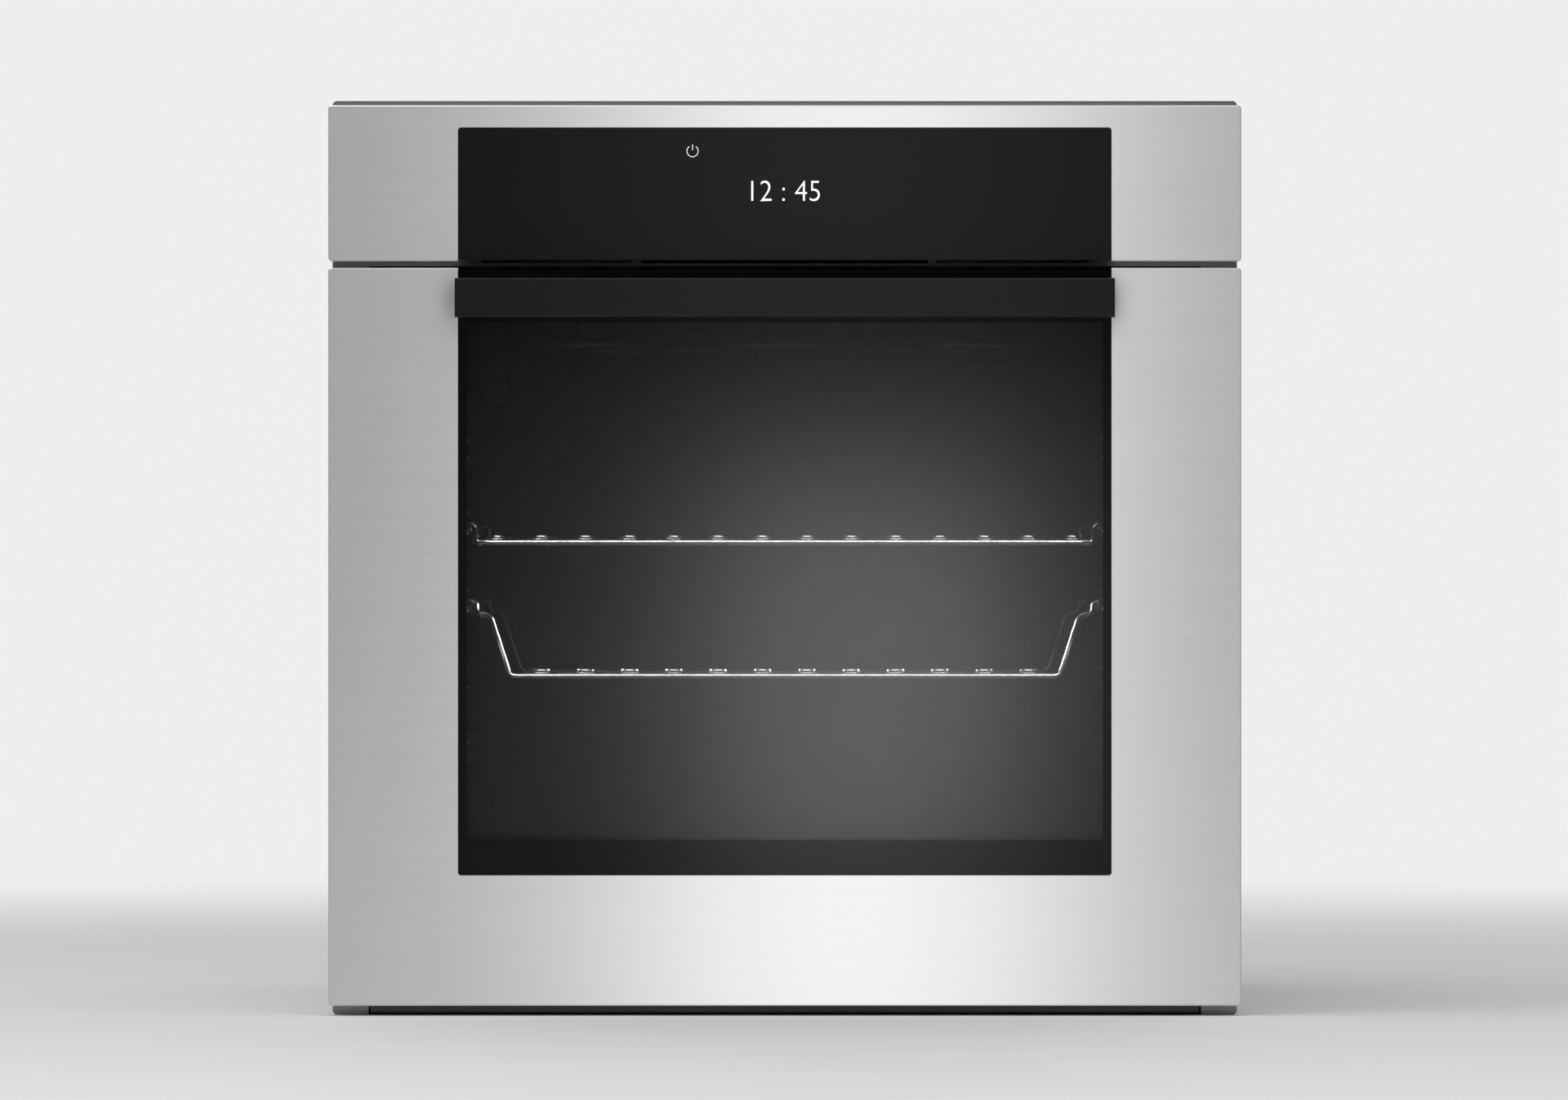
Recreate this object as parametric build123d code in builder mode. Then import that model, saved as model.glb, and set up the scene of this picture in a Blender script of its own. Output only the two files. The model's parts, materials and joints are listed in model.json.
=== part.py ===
"""Built-in electric wall oven, 60 cm class: casing, cavity, fans, heaters, shelves and drop-down door.

Units are millimetres. X runs to the user's right, Y runs into the cabinet and Z is up.
The origin is the centre of the footprint, on the plane that the base stands on.
"Depth" below is the distance behind the cabinet plane, which is the rear face of the front flange.
"""

import os
from math import asin, cos, pi, sin, sqrt

from build123d import *

os.makedirs("parts", exist_ok=True)

# Overall sizes
FRONT_WIDTH = 595.0
FRONT_HEIGHT = 597.0
BODY_WIDTH = 558.0
BODY_HEIGHT = 577.0
BODY_DEPTH = 545.0
FRONT_PROJECTION = 22.0  # door and fascia faces ahead of the cabinet plane
HANDLE_STANDOFF = 40.0  # handle face ahead of the door face
GLAND_PROUD = 3.0  # cable gland flange behind the rear panel

# Sheet and glass thicknesses
SHEET = 1.0
CASING_SHEET = 0.8
ENAMEL_SHEET = 1.2
PANE = 4.0
SEAT_GAP = 0.3  # clearance left where a piece seats on another

# Front layout, as heights above the base
DOOR_BOTTOM = 6.4
DOOR_TOP = 487.5
FASCIA_BOTTOM = 491.7
FASCIA_TOP = 593.4
WINDOW_HALF = 213.0
WINDOW_BOTTOM = 91.5
CONTROL_GLASS_TOP = 579.0
GLASS_CORNER = 2.0
SKIN_CORNER = 2.5
SKIN_EDGE = 0.8

# Front frame
FRAME_INSET = 2.0  # flange edge inside the front's edge
FRAME_CORNER = 3.0
RECESS_HALF = 272.0
RECESS_TOP = 489.0
RECESS_DEPTH = 18.0
CABINET_HOLE_R = 2.75
CABINET_HOLE_X = 284.0
CABINET_HOLE_LOW = 120.0
CABINET_HOLE_HIGH = 430.0
AIR_SLOT_HALF = 200.0
AIR_SLOT_HEIGHT = 12.0
TRIM_HEIGHT = 6.0
TRIM_DEPTH = 8.0

# Cavity
CAVITY_HALF = 230.0
CAVITY_FLOOR = 102.0
CAVITY_TOP = 454.0
CAVITY_DEPTH = 410.0
CAVITY_CORNER = 22.0
CAVITY_FLANGE = 18.0
SEAL_WIDTH = 9.0
SEAL_OFFSET = 2.0

# Insulation, deck and support rails
BLANKET_HALF = 256.0
BLANKET_BOTTOM = 76.0
BLANKET_BACK = 25.0
ELEMENT_SPACE = 9.0  # room for the lower heater under the cavity floor
DECK_TOP = 483.0
RAIL_X = 180.0
RAIL_WIDTH = 30.0

# Wire shelves and their side supports
GUIDE_X = 208.0
GUIDE_R = 2.0
UPRIGHT_X = 226.0
GUIDE_LEVELS = (163.5, 213.0, 264.2, 315.1, 363.5)  # lower wire of each level
GUIDE_PAIR = 12.5
GUIDE_FRONT = 40.0
GUIDE_BACK_GAP = 57.0  # guide wires end this far ahead of the cavity's back
UPRIGHT_TOP = 400.0
UPRIGHT_BOTTOM = 140.0
SHELF_LEVEL = 3
DROP_LEVEL = 2
RAIL_R = 2.5
WIRE_R = 1.5
WIRE_SIDES = 6  # sides of a drawn wire or heater tube
BEND_LENGTHS = 3  # straight lengths in an eased corner
WELD = 0.6  # overlap of welded wires
ROUND_SIDES = 12  # sides of hidden round pieces
SMALL_SIDES = 8  # sides of small hidden round pieces
SHELF_FRONT = 30.0
SHELF_BACK_GAP = 45.0
SHELF_SAG = 11.2  # shelf front rail below its side rails
DROP_SHOULDER = 7.7
DROP_DEPTH = 48.1
DROP_TOP_X = 194.0
DROP_FLOOR_X = 181.0
DROP_BEND = 6.0
HAIRPIN_PITCH = 29.1
HAIRPIN_WIDTH = 10.6
SHELF_HAIRPINS = 14
DROP_HAIRPINS = 12

# Heaters, fans and lamp
TUBE_R = 3.25
GRILL_DROP = 14.0
GRILL_BEND = 22.0
FAN_Z = 268.0
FAN_R = 72.0
FAN_BLADES = 10
FAN_DEPTH = 18.0
FAN_HUB_R = 9.0
SHAFT_R = 4.0
SHAFT_CLEAR = 0.05
RING_R = 98.0
RING_LENGTHS = 18  # straight lengths in the ring heater
RING_LEG_RISE = 12.0  # ring heater's legs above and below the fan's axis
LEG_SLEEVE = 0.4  # sleeve on a heater's leg, over the tube
COVER_HALF = 166.0
COVER_BOTTOM = 122.0
COVER_TOP = 435.0
COVER_DEPTH = 32.0
COVER_CORNER = 20.0
LAMP_X = 198.0
LAMP_Z = 412.0
LAMP_R = 22.0
LAMP_HOLDER_DEPTH = 20.0
BULB_R = 5.0
BULB_LENGTH = 22.0
BLOWER_DEPTH = 350.0
BLOWER_R = 40.0
BLOWER_HALF = 105.0
ROTOR_R = 30.0
ROTOR_HALF = 98.0
ROTOR_BLADES = 10
DUCT_HEIGHT = 22.0

# Door build-up, as depths
SKIN_RETURN = 14.0
OUTER_PANE_LAP = 12.0
STILE_INNER = 240.0
STILE_OUTER = 268.0
STILE_FRONT = -16.5
STILE_BACK = 7.5
STILE_BOTTOM = 12.0
STILE_TOP = 480.0
INNER_PANE_HALF = 246.0
MIDDLE_PANE_DEPTHS = (-10.0, -1.5)
HOLDER_HEIGHT = 7.0
RAIL_TOP = 30.0

# Handle
HANDLE_HALF = 214.0
HANDLE_BOTTOM = 454.5
HANDLE_TOP = 480.0
HANDLE_THICK = 7.0
POST_WIDTH = 16.0
POST_HEIGHT = 15.0
HANDLE_SCREW_R = 2.5

# Door hinges
HINGE_X = 257.0
PIN_ROOM = 0.5  # hinge pin behind the front plate of the stile
HINGE_Z = 14.0
HINGE_PIN_R = 3.0
HINGE_CLEAR = 0.05
ARM_THICK = 4.0
ARM_SHIFT = 2.5  # arm's centre plane inwards of the channel's
ARM_LOW = 6.5
ARM_HIGH = 16.0
ARM_REACH = 52.0
ARM_SLOT = 4.0  # slot in the door's lower return, ahead of the hinge pin
LEVER_R = 14.0
LEVER_PIN_R = 2.0
ROD_PLATE = 3.0
ROD_R = 2.5
ROD_SHIFT = 4.0  # rod axis ahead of the lever pin's outermost point
ROD_PLAY = 0.6  # play of the lever pin along the rod
CHANNEL_HALF = 8.5
CHANNEL_WALL = 1.5
CHANNEL_BOTTOM = 8.5
CHANNEL_TOP = 205.0
EYE_R = 6.0
EYE_ROOM = 20.0  # height above the pin left open in front of the arm's eye
SPRING_BOTTOM = 92.0
SPRING_TOP = 170.0
SPRING_R = 5.2
SPRING_WALL = 2.0

REAR_REACH = BODY_DEPTH + GLAND_PROUD
FRONT_REACH = FRONT_PROJECTION + HANDLE_STANDOFF
FLANGE_Y = (FRONT_REACH - REAR_REACH) / 2
FRAME_FLOOR_BACK = RECESS_DEPTH + SHEET
CAVITY_BACK = FRAME_FLOOR_BACK + CAVITY_DEPTH
GUIDE_BACK = CAVITY_BACK - GUIDE_BACK_GAP
SHELF_BACK = CAVITY_BACK - SHELF_BACK_GAP
BODY_HALF = BODY_WIDTH / 2
FRONT_HALF = FRONT_WIDTH / 2
CAVITY_MID_Z = (CAVITY_FLOOR + CAVITY_TOP) / 2
CAVITY_HEIGHT = CAVITY_TOP - CAVITY_FLOOR
HINGE_DEPTH = STILE_FRONT + SHEET + HINGE_PIN_R + PIN_ROOM
ARM_X = HINGE_X - ARM_SHIFT
ROD_X = HINGE_X + ROD_PLATE / 2
ROD_DEPTH = HINGE_DEPTH + LEVER_R - ROD_SHIFT


def y(depth):
    """Y of a point at this depth behind the cabinet plane."""
    return FLANGE_Y + depth


def facing(depth):
    """Upright plane at a depth, facing the user: local x is X, local y is Z, extrudes come forward."""
    return Plane.XZ.offset(-y(depth))


def sideways(x):
    """Upright plane across the oven at x: local x is Y, local y is Z, positive extrudes go to the right."""
    return Plane.YZ.offset(x)


def rectangle_between(low, high, mode=Mode.ADD):
    """Rectangle between two opposite corners of the current sketch."""
    with Locations(((low[0] + high[0]) / 2, (low[1] + high[1]) / 2)):
        Rectangle(high[0] - low[0], high[1] - low[1], mode=mode)


def rounded_between(low, high, radius, mode=Mode.ADD):
    """Rounded rectangle between two opposite corners of the current sketch."""
    with Locations(((low[0] + high[0]) / 2, (low[1] + high[1]) / 2)):
        RectangleRounded(high[0] - low[0], high[1] - low[1], radius, mode=mode)


def slab(low, high, mode=Mode.ADD):
    """Box between two corners, each given as (x, depth, z), in the current part."""
    with Locations(((low[0] + high[0]) / 2, y((low[1] + high[1]) / 2), (low[2] + high[2]) / 2)):
        Box(high[0] - low[0], high[1] - low[1], high[2] - low[2], mode=mode)


def cavity_outline(grow, mode=Mode.ADD):
    """Mouth outline of the cavity, grown outwards, in the current sketch."""
    with Locations((0, CAVITY_MID_Z)):
        RectangleRounded(
            2 * (CAVITY_HALF + grow), CAVITY_HEIGHT + 2 * grow, CAVITY_CORNER + grow, mode=mode
        )


def bent_route(points, bend):
    """Route through (x, depth, z) points whose corners are eased by a few short straight lengths."""
    route = [points[0]]
    for before, corner, after in zip(points, points[1:], points[2:]):
        middle = Vector(corner)
        start = middle + (Vector(before) - middle).normalized() * bend
        end = middle + (Vector(after) - middle).normalized() * bend
        for step in range(BEND_LENGTHS + 1):
            share = step / BEND_LENGTHS
            eased = start * (1 - share) ** 2 + middle * (2 * share * (1 - share)) + end * share**2
            route.append((eased.X, eased.Y, eased.Z))
    route.append(points[-1])
    return route


def wire(points, radius, bend=None):
    """Wire along (x, depth, z) points, drawn with few sides, and with eased corners if a bend is given."""
    route = bent_route(points, bend) if bend else points
    with BuildLine() as path:
        Polyline(*[(px, y(depth), pz) for px, depth, pz in route])
    with BuildSketch(Plane(origin=path.line @ 0, z_dir=path.line % 0)) as section:
        RegularPolygon(radius, WIRE_SIDES)
    sweep(section.sketch, path=path.line, transition=Transition.RIGHT)


def save(name, part):
    """Labels a finished piece and writes it as its own file."""
    part.label = name
    export_step(part, f"parts/{name}.step")


def save_pair(name, right_part):
    """Writes a right-hand piece and its mirror image on the left."""
    save(f"{name}_right", right_part)
    with BuildPart() as left:
        mirror(right_part, about=Plane.YZ)
    save(f"{name}_left", left.part)


# Front frame: flange against the cabinet, with the opening for the door
with BuildPart() as front_frame:
    with BuildSketch(facing(0)):
        rounded_between(
            (-FRONT_HALF + FRAME_INSET, 0),
            (FRONT_HALF - FRAME_INSET, FRONT_HEIGHT),
            FRAME_CORNER,
        )
        rectangle_between((-RECESS_HALF, 0), (RECESS_HALF, RECESS_TOP), mode=Mode.SUBTRACT)
        air_slot_bottom = RECESS_TOP + 2 * SHEET
        rounded_between(
            (-AIR_SLOT_HALF, air_slot_bottom),
            (AIR_SLOT_HALF, air_slot_bottom + AIR_SLOT_HEIGHT),
            3,
            mode=Mode.SUBTRACT,
        )
        rounded_between((-WINDOW_HALF, 512), (WINDOW_HALF, 572), 4, mode=Mode.SUBTRACT)
        hole_rise = (CABINET_HOLE_HIGH - CABINET_HOLE_LOW) / 2
        with Locations((0, CABINET_HOLE_LOW + hole_rise)):
            with GridLocations(2 * CABINET_HOLE_X, 2 * hole_rise, 2, 2):
                Circle(CABINET_HOLE_R, mode=Mode.SUBTRACT)
    extrude(amount=SHEET)
save("front_frame", front_frame.part)

# Recess behind the flange that takes the rear half of the door
with BuildPart() as door_recess:
    with BuildSketch(facing(FRAME_FLOOR_BACK)):
        rectangle_between((-RECESS_HALF - SHEET, 0), (RECESS_HALF + SHEET, RECESS_TOP + SHEET))
    extrude(amount=FRAME_FLOOR_BACK)
    with BuildSketch(facing(RECESS_DEPTH)):
        rectangle_between((-RECESS_HALF, 0), (RECESS_HALF, RECESS_TOP))
    extrude(amount=RECESS_DEPTH, mode=Mode.SUBTRACT)
    with BuildSketch(facing(FRAME_FLOOR_BACK)):
        cavity_outline(0)
        for side in (-1, 1):
            hinge_slot_low = HINGE_Z + ARM_LOW - 2
            hinge_slot_high = HINGE_Z + ARM_HIGH + 2
            rectangle_between(
                (side * ARM_X - ARM_THICK, hinge_slot_low), (side * ARM_X + ARM_THICK, hinge_slot_high)
            )
    extrude(amount=SHEET, mode=Mode.SUBTRACT)
save("door_recess", door_recess.part)

# Lower trim: folded strip that shows as a thin line under the door
with BuildPart() as lower_trim:
    with BuildSketch(sideways(-RECESS_HALF + 1)):
        with BuildLine():
            FilletPolyline(
                (y(RECESS_DEPTH), 0),
                (y(TRIM_DEPTH), 0),
                (y(TRIM_DEPTH), TRIM_HEIGHT),
                (y(RECESS_DEPTH), TRIM_HEIGHT),
                (y(RECESS_DEPTH), 0),
                radius=1.2,
                close=True,
            )
        make_face()
        rounded_between(
            (y(TRIM_DEPTH + SHEET), SHEET),
            (y(RECESS_DEPTH - SHEET), TRIM_HEIGHT - SHEET),
            0.8,
            mode=Mode.SUBTRACT,
        )
    extrude(amount=2 * (RECESS_HALF - 1))
save("lower_trim", lower_trim.part)

# Casing: base, two sides, top and vented back
with BuildPart() as base_panel:
    side_in = BODY_HALF - CASING_SHEET
    slab((-side_in, FRAME_FLOOR_BACK, 0), (side_in, BODY_DEPTH - SHEET, SHEET))
    for side in (-1, 1):
        slab(
            (min(side * side_in, side * (side_in - SHEET)), FRAME_FLOOR_BACK, 0),
            (max(side * side_in, side * (side_in - SHEET)), BODY_DEPTH - SHEET, 14),
        )
    with BuildSketch(Plane.XY):
        with Locations((0, y(BODY_DEPTH / 2))):
            with GridLocations(40, 150, 9, 2):
                Rectangle(6, 28)
    extrude(amount=SHEET, mode=Mode.SUBTRACT)
save("base_panel", base_panel.part)

with BuildPart() as side_panel:
    slab((BODY_HALF - CASING_SHEET, 0, 0), (BODY_HALF, BODY_DEPTH - SHEET, BODY_HEIGHT - SHEET))
    with BuildSketch(sideways(BODY_HALF)):
        with Locations((y(430), 530)):
            with GridLocations(14, 0, 10, 1):
                Rectangle(5, 46)
        with Locations((y(460), 130)):
            with GridLocations(14, 0, 8, 1):
                Rectangle(5, 60)
    extrude(amount=-CASING_SHEET, mode=Mode.SUBTRACT)
save_pair("side_panel", side_panel.part)

with BuildPart() as top_panel:
    slab((-BODY_HALF, 0, BODY_HEIGHT - SHEET), (BODY_HALF, BODY_DEPTH - SHEET, BODY_HEIGHT))
    with BuildSketch(Plane.XY.offset(BODY_HEIGHT)):
        with Locations((0, y(BLOWER_DEPTH + 30))):
            with GridLocations(15, 62, 12, 2):
                Rectangle(6, 50)
    extrude(amount=-SHEET, mode=Mode.SUBTRACT)
save("top_panel", top_panel.part)

GLAND_X, GLAND_Z, GLAND_BODY_R, GLAND_BORE_R = -215.0, 512.0, 11.0, 5.5
with BuildPart() as rear_panel:
    slab((-BODY_HALF, BODY_DEPTH - SHEET, 0), (BODY_HALF, BODY_DEPTH, BODY_HEIGHT))
    with BuildSketch(facing(BODY_DEPTH)):
        with Locations((0, FAN_Z)):
            with PolarLocations(62, 12):
                Rectangle(52, 8)
        with Locations((40, 530)):
            with GridLocations(26, 0, 11, 1):
                Rectangle(10, 54)
        with Locations((0, 40)):
            with GridLocations(36, 0, 10, 1):
                Rectangle(14, 40)
        with Locations((GLAND_X, GLAND_Z)):
            Circle(GLAND_BODY_R + SHAFT_CLEAR)
    extrude(amount=SHEET, mode=Mode.SUBTRACT)
save("rear_panel", rear_panel.part)

# Mains entry: flanged gland through the back, and the terminal block behind it
with BuildPart() as cable_gland:
    with BuildSketch(facing(BODY_DEPTH - 12)):
        with Locations((GLAND_X, GLAND_Z)):
            Circle(GLAND_BODY_R)
    extrude(amount=-(12 + GLAND_PROUD))
    with BuildSketch(facing(BODY_DEPTH)):
        with Locations((GLAND_X, GLAND_Z)):
            RegularPolygon(GLAND_BODY_R + 5, 6)
    extrude(amount=-GLAND_PROUD)
    with BuildSketch(facing(BODY_DEPTH - 12)):
        with Locations((GLAND_X, GLAND_Z)):
            Circle(GLAND_BORE_R)
    extrude(amount=-(12 + GLAND_PROUD), mode=Mode.SUBTRACT)
save("cable_gland", cable_gland.part)

with BuildPart() as terminal_block:
    slab((GLAND_X - 40, 468, DECK_TOP), (GLAND_X + 40, 508, DECK_TOP + 6))
    for pole in range(5):
        pole_x = GLAND_X - 30 + 15 * pole
        slab((pole_x - 6, 474, DECK_TOP + 6), (pole_x + 6, 502, DECK_TOP + 24))
    with BuildSketch(Plane.XY.offset(DECK_TOP + 24)):
        with Locations((GLAND_X, y(488))):
            with GridLocations(15, 14, 5, 2):
                Rectangle(5, 5)
    extrude(amount=-8, mode=Mode.SUBTRACT)
save("terminal_block", terminal_block.part)

# Cavity: enamelled box with rounded corners, a front flange and holes for the services
GRILL_Z = CAVITY_TOP - GRILL_DROP
GRILL_LEG_X = 26.0
RING_LEG_X = -sqrt(RING_R**2 - RING_LEG_RISE**2)
PROBE_X, PROBE_Z, PROBE_R = -198.0, 412.0, 3.0
with BuildPart() as cavity:
    with BuildSketch(facing(CAVITY_BACK + ENAMEL_SHEET)):
        cavity_outline(ENAMEL_SHEET)
    extrude(amount=CAVITY_DEPTH + ENAMEL_SHEET)
    with BuildSketch(facing(CAVITY_BACK)):
        cavity_outline(0)
    extrude(amount=CAVITY_DEPTH, mode=Mode.SUBTRACT)
    with BuildSketch(facing(FRAME_FLOOR_BACK + ENAMEL_SHEET)):
        cavity_outline(CAVITY_FLANGE)
        cavity_outline(0, mode=Mode.SUBTRACT)
    extrude(amount=ENAMEL_SHEET)
    with BuildSketch(facing(CAVITY_BACK)):
        with Locations((0, FAN_Z)):
            RegularPolygon(SHAFT_R + 5, SMALL_SIDES)
        with Locations((RING_LEG_X, FAN_Z + RING_LEG_RISE), (RING_LEG_X, FAN_Z - RING_LEG_RISE)):
            RegularPolygon(TUBE_R + LEG_SLEEVE + 2 * SEAT_GAP, WIRE_SIDES)
        with Locations((-GRILL_LEG_X, GRILL_Z), (GRILL_LEG_X, GRILL_Z)):
            RegularPolygon(TUBE_R + 2 * SEAT_GAP, WIRE_SIDES)
        with Locations((LAMP_X, LAMP_Z)):
            RegularPolygon(LAMP_R - 4, ROUND_SIDES)
        with Locations((PROBE_X, PROBE_Z)):
            RegularPolygon(PROBE_R + 2 * SEAT_GAP, WIRE_SIDES)
    extrude(amount=-ENAMEL_SHEET, mode=Mode.SUBTRACT)
save("cavity", cavity.part)

# Glass-wool blanket around the cavity, with room for the services behind and the heater below
with BuildPart() as insulation:
    blanket_back = CAVITY_BACK + ENAMEL_SHEET + BLANKET_BACK
    blanket_front = FRAME_FLOOR_BACK + ENAMEL_SHEET + SEAT_GAP
    with BuildSketch(facing(blanket_back)):
        rounded_between((-BLANKET_HALF, BLANKET_BOTTOM), (BLANKET_HALF, DECK_TOP - SHEET - SEAT_GAP), 24)
    extrude(amount=blanket_back - blanket_front)
    with BuildSketch(facing(CAVITY_BACK + ENAMEL_SHEET + SEAT_GAP)):
        cavity_outline(ENAMEL_SHEET + SEAT_GAP)
        rectangle_between((-190, CAVITY_FLOOR - ELEMENT_SPACE), (190, CAVITY_MID_Z))
    extrude(amount=CAVITY_DEPTH + BLANKET_BACK, mode=Mode.SUBTRACT)
    with BuildSketch(facing(CAVITY_BACK)):
        with Locations((0, FAN_Z)):
            Rectangle(100, 100)
        with Locations((-RING_R, FAN_Z)):
            Rectangle(24, 48)
        with Locations((0, GRILL_Z)):
            Rectangle(2 * GRILL_LEG_X + 30, 24)
        with Locations((LAMP_X, LAMP_Z)):
            Rectangle(2 * LAMP_R + 4, 2 * LAMP_R + 4)
        with Locations((PROBE_X, PROBE_Z)):
            Rectangle(14, 14)
    extrude(amount=-2 * BLANKET_BACK, mode=Mode.SUBTRACT)
save("insulation", insulation.part)

# Folded rails that carry the insulated cavity on the base
with BuildPart() as support_rail:
    slab((RAIL_X - RAIL_WIDTH / 2, 40, SHEET), (RAIL_X + RAIL_WIDTH / 2, 440, BLANKET_BOTTOM))
    slab(
        (RAIL_X - RAIL_WIDTH / 2 + SHEET, 40, 2 * SHEET),
        (RAIL_X + RAIL_WIDTH / 2, 440, BLANKET_BOTTOM - SHEET),
        mode=Mode.SUBTRACT,
    )
    with BuildSketch(sideways(RAIL_X - RAIL_WIDTH / 2)):
        with Locations((y(240), BLANKET_BOTTOM / 2)):
            with GridLocations(95, 0, 4, 1):
                Rectangle(66, 36)
    extrude(amount=SHEET, mode=Mode.SUBTRACT)
    mirror(support_rail.part, about=Plane.YZ)
save("support_rails", support_rail.part)

# Deck over the insulation: floor of the electronics and cooling compartment
with BuildPart() as service_deck:
    slab(
        (-BODY_HALF + CASING_SHEET, FRAME_FLOOR_BACK, DECK_TOP - SHEET),
        (BODY_HALF - CASING_SHEET, BODY_DEPTH - SHEET, DECK_TOP),
    )
    with BuildSketch(Plane.XY.offset(DECK_TOP)):
        with Locations((0, y(510))):
            SlotOverall(160, 34)
    extrude(amount=-SHEET, mode=Mode.SUBTRACT)
save("service_deck", service_deck.part)

# Door seal: rubber ring pressed on the frame around the mouth
SEAL_FRONT = STILE_BACK + PANE + SEAT_GAP
with BuildPart() as door_seal:
    with BuildSketch(facing(RECESS_DEPTH)):
        cavity_outline(SEAL_OFFSET + SEAL_WIDTH)
        cavity_outline(SEAL_OFFSET, mode=Mode.SUBTRACT)
    extrude(amount=RECESS_DEPTH - SEAL_FRONT)
    chamfer(door_seal.faces().sort_by(Axis.Y)[0].edges(), 2.2)
save("door_seal", door_seal.part)

# Hinge receivers: boxes behind the frame that take the hinge hooks
with BuildPart() as hinge_receivers:
    receiver_low, receiver_high = HINGE_Z + ARM_LOW - 8, HINGE_Z + ARM_HIGH + 8
    receiver_back = FRAME_FLOOR_BACK + ARM_REACH - RECESS_DEPTH
    slab((ARM_X - 8, FRAME_FLOOR_BACK, receiver_low), (ARM_X + 8, receiver_back, receiver_high))
    slab(
        (ARM_X - 8 + SHEET, FRAME_FLOOR_BACK, receiver_low + SHEET),
        (ARM_X + 8 - SHEET, receiver_back - SHEET, receiver_high - SHEET),
        mode=Mode.SUBTRACT,
    )
    for tab in (receiver_low - 10, receiver_high):
        slab((ARM_X - 8, FRAME_FLOOR_BACK, tab), (ARM_X + 8, FRAME_FLOOR_BACK + SHEET, tab + 10))
    mirror(hinge_receivers.part, about=Plane.YZ)
save("hinge_receivers", hinge_receivers.part)

# Side supports: two uprights with staple-shaped guide wires, two wires to a level
with BuildPart() as shelf_support:
    for upright_depth in (GUIDE_FRONT + 14, GUIDE_BACK - 14):
        wire(((UPRIGHT_X, upright_depth, UPRIGHT_BOTTOM), (UPRIGHT_X, upright_depth, UPRIGHT_TOP)), GUIDE_R)
    for level in GUIDE_LEVELS:
        for height in (level, level + GUIDE_PAIR):
            wire(
                (
                    (UPRIGHT_X, GUIDE_FRONT + 14, height),
                    (GUIDE_X, GUIDE_FRONT, height),
                    (GUIDE_X, GUIDE_BACK, height),
                    (UPRIGHT_X, GUIDE_BACK - 14, height),
                ),
                GUIDE_R,
            )
    for stud_depth in (GUIDE_FRONT + 14, GUIDE_BACK - 14):
        for stud_height in (UPRIGHT_BOTTOM + 6, UPRIGHT_TOP - 6):
            wire(((UPRIGHT_X, stud_depth, stud_height), (CAVITY_HALF, stud_depth, stud_height)), GUIDE_R)
save_pair("shelf_support", shelf_support.part)


FRONT_RAIL_DEPTH = SHELF_FRONT + RAIL_R
BACK_RAIL_DEPTH = SHELF_BACK - RAIL_R
RAIL_DROP_X = GUIDE_X - GUIDE_R - RAIL_R - 2 * SEAT_GAP


def hairpins(count, rest_z):
    """Row of hairpin wires, closed at the front, lying on the cross rails."""
    wire_z = rest_z + RAIL_R + WIRE_R - WELD
    front = SHELF_FRONT + WIRE_R
    for index in range(count):
        middle = (index - (count - 1) / 2) * HAIRPIN_PITCH
        near, far = middle - HAIRPIN_WIDTH / 2, middle + HAIRPIN_WIDTH / 2
        wire(
            (
                (near, BACK_RAIL_DEPTH, wire_z),
                (near, front, wire_z),
                (far, front, wire_z),
                (far, BACK_RAIL_DEPTH, wire_z),
            ),
            WIRE_R,
        )


def middle_rail(count, rail_z):
    """Straight cross rail under the middle of the hairpins."""
    reach = count * HAIRPIN_PITCH / 2
    depth = (FRONT_RAIL_DEPTH + BACK_RAIL_DEPTH) / 2
    wire(((-reach, depth, rail_z), (reach, depth, rail_z)), RAIL_R)


def side_rails(rail_z):
    """Pair of straight side rails that slide on the guide wires."""
    for side in (-1, 1):
        wire(((side * GUIDE_X, SHELF_FRONT, rail_z), (side * GUIDE_X, SHELF_BACK, rail_z)), RAIL_R)


def side_rail_height(level):
    """Height of a shelf's side rail that rests on a guide level."""
    return GUIDE_LEVELS[level] + GUIDE_R + RAIL_R + SEAT_GAP


# Flat wire shelf
with BuildPart() as wire_shelf:
    shelf_z = side_rail_height(SHELF_LEVEL)
    side_rails(shelf_z)
    for rail_depth in (FRONT_RAIL_DEPTH, BACK_RAIL_DEPTH):
        wire(
            (
                (-GUIDE_X, rail_depth, shelf_z),
                (-RAIL_DROP_X, rail_depth, shelf_z),
                (-RAIL_DROP_X, rail_depth, shelf_z - SHELF_SAG),
                (RAIL_DROP_X, rail_depth, shelf_z - SHELF_SAG),
                (RAIL_DROP_X, rail_depth, shelf_z),
                (GUIDE_X, rail_depth, shelf_z),
            ),
            RAIL_R,
        )
    middle_rail(SHELF_HAIRPINS, shelf_z - SHELF_SAG)
    hairpins(SHELF_HAIRPINS, shelf_z - SHELF_SAG)
save("wire_shelf", wire_shelf.part)

# Dropped wire shelf, whose grid hangs below its side rails
drop_z = side_rail_height(DROP_LEVEL)
drop_floor_z = drop_z - DROP_DEPTH
DROP_JOIN_X = DROP_FLOOR_X - 10  # where the bent sides meet the grid's straight rails
with BuildPart() as drop_shelf:
    for rail_depth in (FRONT_RAIL_DEPTH, BACK_RAIL_DEPTH):
        wire(((-DROP_JOIN_X, rail_depth, drop_floor_z), (DROP_JOIN_X, rail_depth, drop_floor_z)), RAIL_R)
    middle_rail(DROP_HAIRPINS, drop_floor_z)
    hairpins(DROP_HAIRPINS, drop_floor_z)
save("drop_shelf", drop_shelf.part)

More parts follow.
